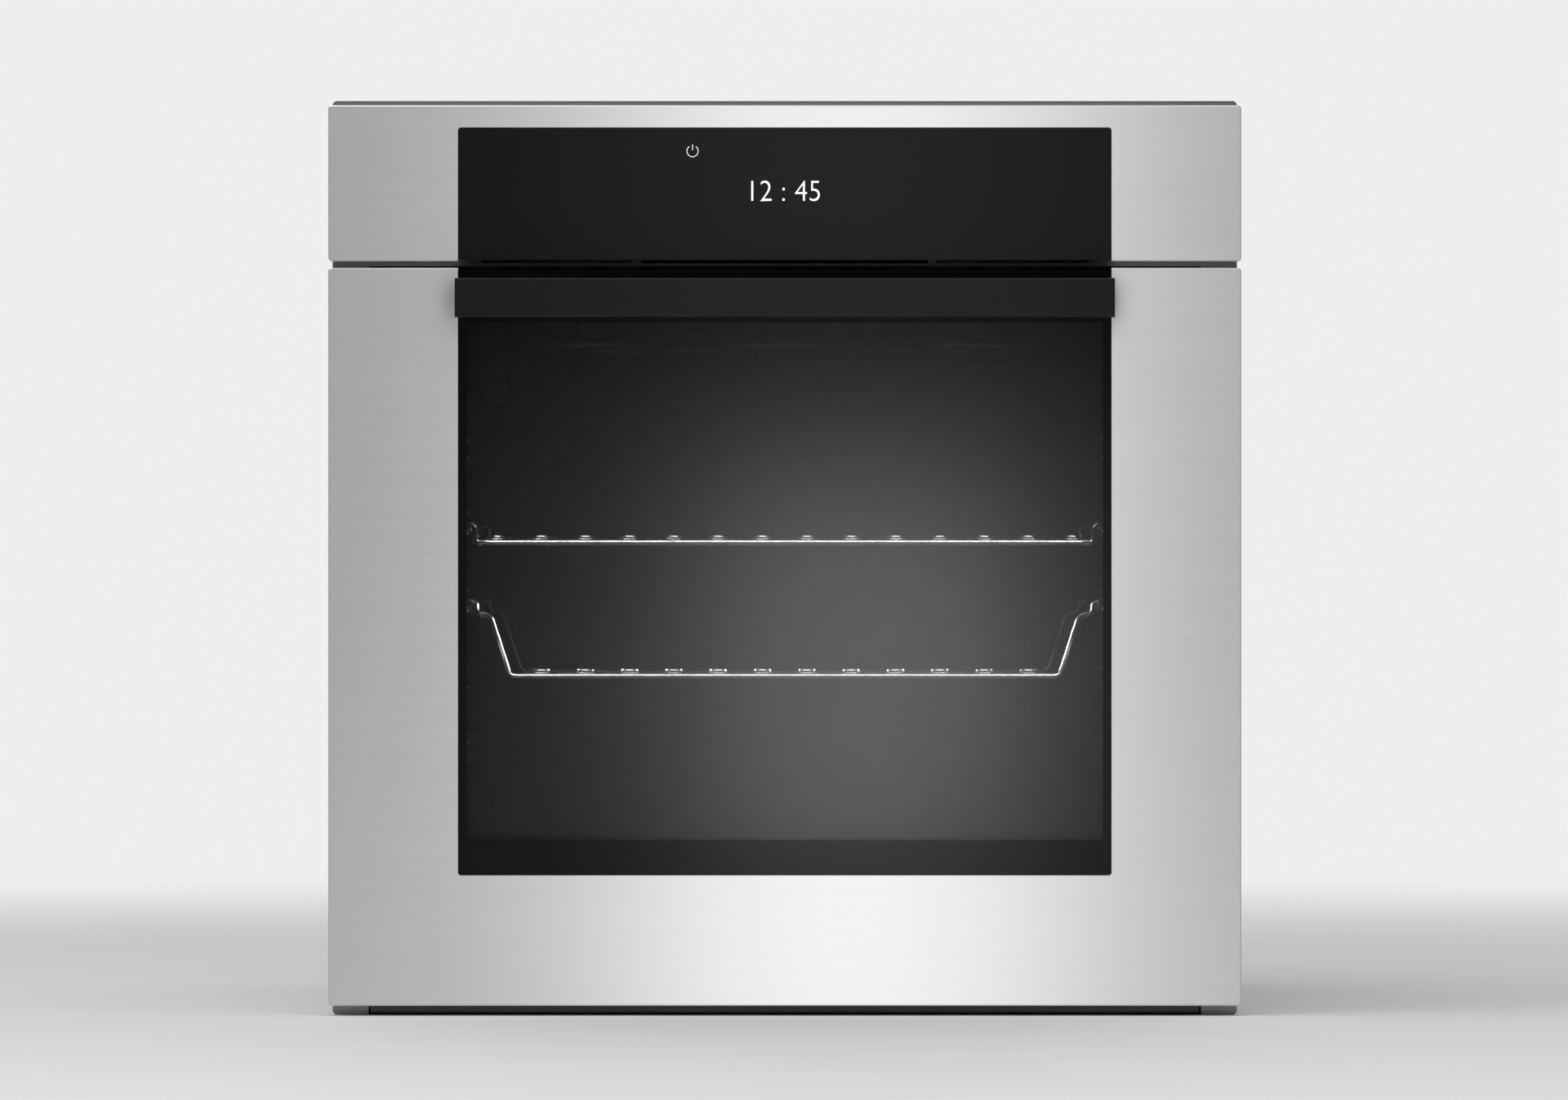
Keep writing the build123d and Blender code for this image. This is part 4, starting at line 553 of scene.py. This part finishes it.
@dataclass
class WireWork:
    """Shelves and side supports as round plated wire, over the CAD wires. Sizes are in millimetres.

    Attributes:
        guide_x: Half distance between the guide wires.
        guide_pair: Rise from a lower guide wire to the upper one of its pair.
        guide_levels: Heights of the lower guide wires.
        guide_lead: Depth over which a guide's end runs out to its upright.
        stub_inset: Distance of an upright's wall stubs from its ends.
        seat_gap: Play between a shelf's side rails and the guides.
        turn_inset: Distance from a side rail to where the cross rails turn down.
        shelf_sag: Drop of the flat shelf's cross rails below its side rails.
        hairpin_sink: Depth that the hairpins are let into the rails.
        flat_level: Guide that the flat shelf sits on, counted from 0 at the lowest.
        drop_level: Guide that the dropped shelf sits on.
    """

    guide_x: float = 208.0
    guide_radius: float = 2.0
    guide_pair: float = 12.5
    guide_levels: tuple[float, ...] = (163.5, 213.0, 264.2, 315.1, 363.5)
    guide_front: float = 40.0
    guide_back: float = 372.0
    guide_lead: float = 14.0
    guide_bend: float = 8.0
    upright_x: float = 226.0
    upright_bottom: float = 140.0
    upright_top: float = 400.0
    stub_inset: float = 6.0
    wall_x: float = 230.0
    rail_radius: float = 2.5
    wire_radius: float = 1.5
    wire_sides: int = 10
    front: float = 30.0
    back: float = 384.0
    seat_gap: float = 0.3
    turn_inset: float = 5.1
    shelf_sag: float = 11.2
    shelf_bend: float = 2.6
    shoulder: float = 7.7
    drop: float = 48.1
    drop_top_x: float = 194.0
    drop_floor_x: float = 181.0
    drop_bend: float = 6.0
    pitch: float = 29.1
    hairpin: float = 10.6
    hairpin_bend: float = 4.0
    hairpin_sink: float = 0.4
    flat_level: int = 3
    flat_hairpins: int = 14
    drop_level: int = 2
    drop_hairpins: int = 12

    def build(self) -> None:
        """Builds both supports and both shelves."""
        for side, name in ((-1, "shelf_support_left"), (1, "shelf_support_right")):
            self._support(name, side)
        self._flat_shelf()
        self._dropped_shelf()

    def _support(self, node: str, side: int) -> None:
        """Builds one side support.

        Args:
            node: CAD node that it stands for.
            side: -1 on the left, 1 on the right.
        """
        piece = Piece(f"{node}_wires", "housing", "wire_chrome")
        radius, x, wall = self.guide_radius * MM, side * self.upright_x, side * self.wall_x
        near, far = self.guide_front + self.guide_lead, self.guide_back - self.guide_lead
        for depth in (near, far):
            ends = (at(x, depth, self.upright_bottom), at(x, depth, self.upright_top))
            piece.tube(ends, radius)
            for z in (self.upright_bottom + self.stub_inset, self.upright_top - self.stub_inset):
                piece.tube((at(x, depth, z), at(wall, depth, z)), radius)
        for level in self.guide_levels:
            for z in (level, level + self.guide_pair):
                route = (
                    at(x, near, z),
                    at(side * self.guide_x, self.guide_front, z),
                    at(side * self.guide_x, self.guide_back, z),
                    at(x, far, z),
                )
                piece.tube(route, radius, self.guide_bend * MM)
        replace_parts(piece.finish(), node)

    def _side_rails(self, piece: Piece, height: float) -> None:
        """Adds the two side rails of a shelf.

        Args:
            piece: Shelf under construction.
            height: Height of the rails.
        """
        for x in (-self.guide_x, self.guide_x):
            ends = (at(x, self.front, height), at(x, self.back, height))
            piece.tube(ends, self.rail_radius * MM)

    def _hairpins(self, piece: Piece, count: int, rail_z: float) -> None:
        """Adds the hairpin wires and the straight rail under their middle.

        Args:
            piece: Shelf under construction.
            count: Number of hairpins.
            rail_z: Height of the cross rails.
        """
        z = rail_z + self.rail_radius + self.wire_radius - self.hairpin_sink
        near, far = self.front + self.wire_radius, self.back - self.rail_radius
        for index in range(count):
            middle = (index - (count - 1) / 2) * self.pitch
            left, right = middle - self.hairpin / 2, middle + self.hairpin / 2
            corners = ((left, far), (left, near), (right, near), (right, far))
            route = [at(x, depth, z) for x, depth in corners]
            piece.tube(route, self.wire_radius * MM, self.hairpin_bend * MM, self.wire_sides)
        reach, depth = count * self.pitch / 2, (self.front + self.back) / 2
        piece.tube((at(-reach, depth, rail_z), at(reach, depth, rail_z)), self.rail_radius * MM)

    def _cross_rails(
        self, piece: Piece, half: Sequence[tuple[float, float]], bend: float
    ) -> None:
        """Adds the front and back rails of a shelf.

        Args:
            piece: Shelf under construction.
            half: Points of the right half as (x, z), from the side rail to the middle.
            bend: Radius of the bends.
        """
        for depth in (self.front + self.rail_radius, self.back - self.rail_radius):
            route = [at(x, depth, z) for x, z in half]
            route += [at(-x, depth, z) for x, z in reversed(half)]
            piece.tube(route, self.rail_radius * MM, bend * MM)

    def _seat(self, level: int) -> float:
        """Gives the height of the side rails of a shelf on a guide."""
        return self.guide_levels[level] + self.guide_radius + self.rail_radius + self.seat_gap

    def _flat_shelf(self) -> None:
        """Builds the flat shelf."""
        piece = Piece("wire_shelf_wires", "wire_shelf", "wire_chrome")
        side_z = self._seat(self.flat_level)
        low, turn = side_z - self.shelf_sag, self.guide_x - self.turn_inset
        self._side_rails(piece, side_z)
        half = ((self.guide_x, side_z), (turn, side_z), (turn, low))
        self._cross_rails(piece, half, self.shelf_bend)
        self._hairpins(piece, self.flat_hairpins, low)
        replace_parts(piece.finish(), "wire_shelf")

    def _dropped_shelf(self) -> None:
        """Builds the shelf whose middle hangs below its side rails."""
        piece = Piece("drop_shelf_wires", "drop_shelf", "wire_chrome")
        side_z = self._seat(self.drop_level)
        shoulder, low = side_z - self.shoulder, side_z - self.drop
        turn = self.guide_x - self.turn_inset
        self._side_rails(piece, side_z)
        half = (
            (self.guide_x, side_z),
            (turn, side_z),
            (turn, shoulder),
            (self.drop_top_x, shoulder),
            (self.drop_floor_x, low),
        )
        self._cross_rails(piece, half, self.drop_bend)
        self._hairpins(piece, self.drop_hairpins, low)
        made = piece.finish()
        for node in ("drop_shelf", "drop_shelf_side_left", "drop_shelf_side_right"):
            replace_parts(made, node)


@dataclass
class GrillHeater:
    """Looped heater tube under the cavity roof, over the CAD tube. Sizes are in millimetres."""

    radius: float = 3.25
    bend: float = 22.0
    height: float = 440.0
    leg_x: float = 26.0
    outer_x: float = 160.0
    middle_x: float = 100.0
    inner_x: float = 34.0
    front: float = 70.0
    back: float = 340.0
    loop_back: float = 290.0

    def build(self) -> None:
        """Builds the tube, whose ends go through the back wall as far as the CAD tube's."""
        piece = Piece("grill_heater_tube", "housing", "heater_tube")
        leg_back = (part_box("grill_heater")[1][1] - CABINET_PLANE) / MM
        half = (
            (self.leg_x, leg_back),
            (self.leg_x, self.back),
            (self.outer_x, self.back),
            (self.outer_x, self.front),
            (self.middle_x, self.front),
            (self.middle_x, self.loop_back),
            (self.inner_x, self.loop_back),
            (self.inner_x, self.front),
        )
        route = [at(x, depth, self.height) for x, depth in half]
        route += [at(-x, depth, self.height) for x, depth in reversed(half)]
        piece.tube(route, self.radius * MM, self.bend * MM)
        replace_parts(piece.finish(), "grill_heater")


@dataclass
class Controls:
    """Clock figures and power sign lit on the control glass. Sizes are in millimetres.

    Attributes:
        glass_depth: Depth of the glass's face.
        lift: Distance of the figures from the glass.
        power_line: Width of the power sign's line.
        power_gap: Half angle of the opening in the power sign's ring, in degrees.
        power_bar: Lowest and highest point of the power sign's bar, above its centre.
        stroke_trim: Change of the typeface's weight, as a share of its height.
        sliver: Least height of a triangle, so that thinner ones are taken out.
        shades: Darkest and lightest grey of the lit figures.
    """

    glass_depth: float = -20.9
    lift: float = 0.06
    clock_text: str = "12 : 45"
    clock_x: float = 0.5
    clock_z: float = 537.7
    clock_height: float = 13.3
    clock_width: float = 44.7
    power_x: float = -60.1
    power_z: float = 563.6
    power_radius: float = 3.9
    power_line: float = 0.45
    power_gap: float = 35.0
    power_steps: int = 28
    power_bar: tuple[float, float] = (0.6, 4.3)
    stroke_trim: float = -0.012
    sliver: float = 0.005
    unlit_grey: float = 0.8
    glow: float = 0.75
    shades: tuple[float, float] = (0.82, 0.92)
    shade_scale: float = 90.0

    def build(self) -> None:
        """Builds the clock and the power sign."""
        self._clock()
        self._power()

    def _lit(self) -> bpy.types.Material:
        """Makes the pale lit finish of the figures.

        Returns:
            The Blender material of the figures.
        """
        made = bpy.data.materials.new("lit_figures")
        made.use_nodes = True
        tree = made.node_tree
        shader = tree.nodes["Principled BSDF"]
        shader.inputs["Base Color"].default_value = (*[self.unlit_grey] * 3, 1.0)
        shader.inputs["Emission Strength"].default_value = self.glow
        place = tree.nodes.new("ShaderNodeTexCoord")
        noise = tree.nodes.new("ShaderNodeTexNoise")
        noise.inputs["Scale"].default_value = self.shade_scale
        ramp = tree.nodes.new("ShaderNodeValToRGB")
        for stop, shade in zip(ramp.color_ramp.elements, self.shades):
            stop.color = (shade, shade, shade, 1.0)
        tree.links.new(place.outputs["Object"], noise.inputs["Vector"])
        tree.links.new(noise.outputs["Fac"], ramp.inputs["Fac"])
        tree.links.new(ramp.outputs["Color"], shader.inputs["Emission Color"])
        return made

    def _show(self, name: str, data: bpy.types.Mesh) -> None:
        """Puts a figure's mesh on the glass.

        Args:
            name: Name of the piece.
            data: Its mesh, already in place.
        """
        made = bpy.data.objects.new(name, data)
        bpy.context.scene.collection.objects.link(made)
        data.materials.clear()
        data.materials.append(bpy.data.materials.get("lit_figures") or self._lit())
        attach(made, "housing")
        LOG.info("%s: %d faces", name, len(data.polygons))

    def _clock(self) -> None:
        """Builds the clock figures from the plain built-in typeface."""
        text = bpy.data.curves.new("clock_text", "FONT")
        text.body = self.clock_text
        text.align_x = "CENTER"
        text.align_y = "CENTER"
        text.offset = self.stroke_trim
        source = bpy.data.objects.new("clock_text", text)
        data = bpy.data.meshes.new_from_object(source)
        bpy.data.objects.remove(source)
        spots = [corner.co for corner in data.vertices]
        low = Vector((min(s.x for s in spots), min(s.y for s in spots), 0))
        high = Vector((max(s.x for s in spots), max(s.y for s in spots), 0))
        middle, span = (low + high) / 2, high - low
        for corner in data.vertices:
            across = (corner.co.x - middle.x) / span.x * self.clock_width
            rise = (corner.co.y - middle.y) / span.y * self.clock_height
            corner.co = at(self.clock_x + across, self.glass_depth - self.lift, self.clock_z + rise)
        self._trim(data)
        self._show("clock_figures", data)

    def _trim(self, data: bpy.types.Mesh) -> None:
        """Takes the slivers out of a flat mesh.

        Args:
            data: Mesh to clean, in place.
        """
        mesh = bmesh.new()
        mesh.from_mesh(data)
        bmesh.ops.dissolve_degenerate(mesh, dist=self.sliver * MM, edges=mesh.edges[:])
        bmesh.ops.triangulate(mesh, faces=mesh.faces[:])
        slivers = []
        for face in mesh.faces:
            longest = max(edge.calc_length() for edge in face.edges)
            if face.calc_area() < self.sliver * MM / 2 * longest:
                slivers.append(face)
        bmesh.ops.delete(mesh, geom=slivers, context="FACES")
        mesh.to_mesh(data)
        mesh.free()

    def _power(self) -> None:
        """Builds the power sign: an open ring with an upright bar."""
        mesh = bmesh.new()
        gap = math.radians(self.power_gap)
        centre = at(self.power_x, self.glass_depth - self.lift, self.power_z)
        spoke = Vector((-math.sin(gap), 0.0, math.cos(gap))) * MM
        radii = (self.power_radius - self.power_line, self.power_radius)
        end = mesh.edges.new([mesh.verts.new(centre + spoke * radius) for radius in radii])
        bmesh.ops.spin(
            mesh,
            geom=[end],
            cent=centre,
            axis=(0.0, -1.0, 0.0),
            angle=2 * math.pi - 2 * gap,
            steps=self.power_steps,
        )
        low, high = self.power_bar
        upright = Matrix.LocRotScale(
            centre + Vector((0.0, 0.0, (low + high) / 2 * MM)),
            Euler((math.pi / 2, 0.0, 0.0)),
            Vector((self.power_line * MM, (high - low) * MM, 1.0)),
        )
        bmesh.ops.create_grid(mesh, x_segments=1, y_segments=1, size=0.5, matrix=upright)
        bmesh.ops.recalc_face_normals(mesh, faces=mesh.faces[:])
        data = bpy.data.meshes.new("power_sign")
        mesh.to_mesh(data)
        mesh.free()
        self._show("power_sign", data)


@dataclass
class CasingScrews:
    """Screw heads along the edges of the back and side sheets. Sizes are in millimetres.

    Attributes:
        inset: Distance of the screws from the edges of the back sheet.
        back_levels: Heights of the screws between the back sheet's corners.
        side_inset: Distance of the screws from the front and back edges of a side sheet.
        side_depths: Depths of the screws between them.
        side_top: Distance of the upper row from the top of a side sheet.
        side_bottom: Height of the lower row.
    """

    half_width: float = 279.0
    height: float = 577.0
    depth: float = 545.0
    inset: float = 9.0
    back_levels: tuple[float, float] = (200.0, 390.0)
    side_inset: float = 13.0
    side_depths: tuple[float, float] = (200.0, 380.0)
    side_top: float = 14.0
    side_bottom: float = 10.0
    head_radius: float = 4.0
    head_height: float = 2.0

    def build(self) -> None:
        """Builds all the screw heads as one piece."""
        piece = Piece("casing_screws", "housing", "hinge_steel")
        for foot, outward in (*self._back_screws(), *self._side_screws()):
            piece.head(foot, outward, self.head_radius * MM, self.head_height * MM)
        piece.finish()

    def _back_screws(self) -> Iterator[tuple[Vector, Vector]]:
        """Places the screws in the back sheet.

        Yields:
            Foot and direction of each screw.
        """
        reach, outward = self.half_width - self.inset, Vector((0, 1, 0))
        for x in (-reach, -reach / 3, reach / 3, reach):
            for z in (self.inset, self.height - self.inset):
                yield at(x, self.depth, z), outward
        for z in self.back_levels:
            for x in (-reach, reach):
                yield at(x, self.depth, z), outward

    def _side_screws(self) -> Iterator[tuple[Vector, Vector]]:
        """Places the screws in the side sheets.

        Yields:
            Foot and direction of each screw.
        """
        depths = (self.side_inset, *self.side_depths, self.depth - self.side_inset)
        for side in (-1, 1):
            for depth in depths:
                for z in (self.height - self.side_top, self.side_bottom):
                    yield at(side * self.half_width, depth, z), Vector((side, 0, 0))


@dataclass
class DoorSprings:
    """Coil springs on the pull rods inside the door.

    Sizes are in millimetres.
    """

    rod_x: float = 258.5
    rod_depth: float = -2.0
    bottom: float = 92.0
    top: float = 170.0
    coil_radius: float = 4.2
    wire_radius: float = 1.0
    turns: int = 12
    turn_steps: int = 12
    rod_travel: float = 19.9

    def build(self) -> None:
        """Builds both springs as one piece, which rides the door."""
        piece = Piece("door_springs", "door", "hinge_steel")
        rise = self.top - self.bottom - 2 * self.wire_radius
        size = (self.coil_radius * MM, self.wire_radius * MM, rise * MM)
        for side in (-1, 1):
            foot = at(side * self.rod_x, self.rod_depth, self.bottom + self.wire_radius)
            piece.coil(foot, size, self.turns, self.turn_steps)
        made = piece.finish()
        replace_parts(made, "hinge_springs")
        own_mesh(made)


def dress_cad() -> None:
    """Gives every shown CAD node the finish of its material slot."""
    slots = {entry["node"]: entry["material_slot"] for entry in frame["record"]["subparts"]}
    for name, node in frame["nodes"].items():
        finish = NODE_FINISHES.get(name, SLOT_FINISHES[slots[name]])
        node.data.materials.clear()
        node.data.materials.append(finish.material())


class Lit(Enum):
    """Pieces that a light can be held to."""

    PANES = ("outer_pane", "middle_pane_front", "middle_pane_rear", "inner_pane")
    STEEL = ("fascia", "door_skin")
    FRONT = ("fascia", "door_skin", "control_glass", "handle")
    GUIDES = ("shelf_support_left_wires", "shelf_support_right_wires")
    FLAT_SHELF = ("wire_shelf_wires",)
    DROPPED_SHELF = ("drop_shelf_wires",)

    def collection(self) -> bpy.types.Collection:
        """Gathers the pieces, or gives the collection made before.

        Returns:
            The collection.
        """
        made = bpy.data.collections.get(f"lit_{self.name.lower()}")
        if made is None:
            made = bpy.data.collections.new(f"lit_{self.name.lower()}")
            for name in self.value:
                made.objects.link(frame["nodes"].get(name) or bpy.data.objects[name])
        return made


@dataclass(frozen=True)
class Softbox:
    """Rectangular soft light that the camera doesn't see. Sizes are in metres.

    Attributes:
        name: Name of the light.
        place: Where it stands.
        aim: Direction it shines in.
        size: Width and height.
        watts: Power.
        lit: Pieces that it is held to, or None if it lights everything.
        alone: Whether only those pieces shade it.
        spread: Full angle of its beam.
    """

    name: str
    place: Point
    aim: Point
    size: tuple[float, float]
    watts: float
    lit: Lit | None = None
    alone: bool = False
    spread: float = math.pi

    def build(self) -> None:
        """Makes the light and holds it to its pieces."""
        lamp = bpy.data.lights.new(self.name, "AREA")
        lamp.shape = "RECTANGLE"
        lamp.size, lamp.size_y = self.size
        lamp.energy = self.watts
        lamp.spread = self.spread
        made = bpy.data.objects.new(self.name, lamp)
        made.location = self.place
        made.rotation_euler = Vector(self.aim).to_track_quat("-Z", "Y").to_euler()
        made.visible_camera = False
        bpy.context.scene.collection.objects.link(made)
        if self.lit:
            made.light_linking.receiver_collection = self.lit.collection()
        if self.lit and self.alone:
            made.light_linking.blocker_collection = self.lit.collection()


@dataclass
class Studio:
    """Camera, floor and soft light. Sizes are in metres.

    Attributes:
        distance: Camera to the door's face.
        aside: Camera to the middle of the oven.
        eye: Height of the camera.
        picture_width: Width of the picture at the door's face.
        farthest: Farthest that the camera sees.
        pane_faces: Glass faces that a line of sight may pass.
        fade_start: Distance at which the floor starts to fade out.
        fade_end: Distance at which it is gone.
        front_tone: Light of the room in front of the oven.
        back_tone: Light of the room behind it.
        rail_plane: Y of the shelves' front rails.
        beam: Full angle of the lights that are held to the wires.
    """

    distance: float = 7.4
    aside: float = -0.0005
    eye: float = 0.3036
    picture_width: float = 1.0218
    sensor: float = 36.0
    farthest: float = 200.0
    floor_reach: float = 30.0
    pane_faces: int = 32
    fade_start: float = 0.9
    fade_end: float = 3.0
    front_tone: Colour = (0.03, 0.03, 0.031)
    back_tone: Colour = (0.86, 0.86, 0.865)
    rail_plane: float = CABINET_PLANE + 0.0325
    beam: float = math.radians(60)

    def build(self) -> None:
        """Builds the camera, the floor, the world and the lights."""
        self._camera()
        self._floor()
        self._world()
        for light in (*self._room_lights(), *self._wire_lights()):
            light.build()
        bpy.context.scene.view_settings.view_transform = "Standard"
        bpy.context.scene.cycles.transparent_max_bounces = self.pane_faces

    def _room_lights(self) -> tuple[Softbox, ...]:
        """Gives the lights in front of the oven and above it.

        Returns:
            The lights.
        """
        face, ahead = DOOR_FACE, (0.0, 1.0, 0.0)
        leftward, downward = (-0.7, 0.7, 0.0), (0.2, 0.5, -1.0)
        band, glow = (0.045, face - 0.7, 0.30), (0.055, face - 0.6, 0.21)
        return (
            Softbox("band_light", band, ahead, (0.31, 2.2), 2.6, Lit.FRONT, True),
            Softbox("glow_light", glow, ahead, (0.2, 0.28), 0.95, Lit.PANES),
            Softbox("right_light", (1.5, face - 1.5, 0.5), leftward, (0.8, 1.6), 3.0, Lit.STEEL),
            Softbox("steel_light", (0.0, face - 2.0, 0.4), ahead, (4.0, 4.0), 17.8, Lit.STEEL),
            Softbox("top_light", (-0.6, face - 1.2, 2.8), downward, (3.6, 3.1), 58.0),
        )

    def _wire_lights(self) -> tuple[Softbox, ...]:
        """Gives the small lights that bring out the shelves and their guides.

        Returns:
            The lights.
        """
        rails, before = self.rail_plane, self.rail_plane - 0.035
        strip, slope = (0.39, 0.012), (0.02, 0.16)
        onto_guides, onto_rail = (0.0, 0.08, -1.0), (0.0, 0.035, -0.02)
        rows = (
            ("guide_light", (0.0, CABINET_PLANE + 0.024, 0.42), onto_guides, (0.44, 0.03), 0.75),
            ("flat_rail_light", (0.0, before, 0.3287), onto_rail, strip, 0.03),
            ("dropped_rail_light", (0.0, before, 0.2409), onto_rail, strip, 0.03),
            ("left_slope_light", (-0.2, rails, 0.35), (1.0, 0.0, -0.31), slope, 0.45),
            ("right_slope_light", (0.2, rails, 0.35), (-1.0, 0.0, -0.31), slope, 0.45),
        )
        lit = (Lit.GUIDES, Lit.FLAT_SHELF, *[Lit.DROPPED_SHELF] * 3)
        return tuple(Softbox(*row, wires, True, self.beam) for row, wires in zip(rows, lit))

    def _camera(self) -> None:
        """Places the camera straight in front, far back, as in the photograph."""
        lens = bpy.data.cameras.new("camera")
        lens.sensor_width = self.sensor
        lens.lens = self.sensor * self.distance / self.picture_width
        lens.dof.use_dof = False
        lens.clip_end = self.farthest
        made = bpy.data.objects.new("camera", lens)
        made.location = (self.aside, DOOR_FACE - self.distance, self.eye)
        made.rotation_euler = (math.pi / 2, 0.0, 0.0)
        bpy.context.scene.collection.objects.link(made)
        bpy.context.scene.camera = made

    def _floor(self) -> None:
        """Lays the plain pale floor."""
        mesh = bmesh.new()
        bmesh.ops.create_grid(mesh, x_segments=1, y_segments=1, size=self.floor_reach)
        data = bpy.data.meshes.new("floor")
        mesh.to_mesh(data)
        mesh.free()
        made = bpy.data.objects.new("floor", data)
        bpy.context.scene.collection.objects.link(made)
        data.materials.append(self._faded(FLOOR.material()))

    def _faded(self, made: bpy.types.Material) -> bpy.types.Material:
        """Fades a floor finish out, so that it runs into the pale room with no edge.

        Args:
            made: Finish of the floor.

        Returns:
            The same material.
        """
        tree = made.node_tree
        place = tree.nodes.new("ShaderNodeTexCoord")
        away = tree.nodes.new("ShaderNodeVectorMath")
        away.operation = "LENGTH"
        fade = tree.nodes.new("ShaderNodeMapRange")
        fade.interpolation_type = "SMOOTHSTEP"
        fade.inputs["From Min"].default_value = self.fade_start
        fade.inputs["From Max"].default_value = self.fade_end
        fade.inputs["To Min"].default_value = 1.0
        fade.inputs["To Max"].default_value = 0.0
        tree.links.new(place.outputs["Object"], away.inputs[0])
        tree.links.new(away.outputs["Value"], fade.inputs["Value"])
        tree.links.new(fade.outputs["Result"], tree.nodes["Principled BSDF"].inputs["Alpha"])
        return made

    def _world(self) -> None:
        """Lights the room: pale behind the oven, dimmer in front of it."""
        world = bpy.data.worlds.new("studio")
        bpy.context.scene.world = world
        world.use_nodes = True
        tree = world.node_tree
        back = tree.nodes["Background"]
        place = tree.nodes.new("ShaderNodeTexCoord")
        parts = tree.nodes.new("ShaderNodeSeparateXYZ")
        ramp = tree.nodes.new("ShaderNodeValToRGB")
        turn = tree.nodes.new("ShaderNodeMapRange")
        turn.inputs["From Min"].default_value = -1.0
        for stop, tone in zip(ramp.color_ramp.elements, (self.front_tone, self.back_tone)):
            stop.color = (*tone, 1.0)
        tree.links.new(place.outputs["Generated"], parts.inputs["Vector"])
        tree.links.new(parts.outputs["Y"], turn.inputs["Value"])
        tree.links.new(turn.outputs["Result"], ramp.inputs["Fac"])
        tree.links.new(ramp.outputs["Color"], back.inputs["Color"])


def main() -> None:
    """Builds the looks and the studio."""
    logging.basicConfig(level=logging.INFO, format="%(message)s")
    dress_cad()
    WireWork().build()
    GrillHeater().build()
    Controls().build()
    CasingScrews().build()
    DoorSprings().build()
    Studio().build()


if __name__ == "__main__":
    main()
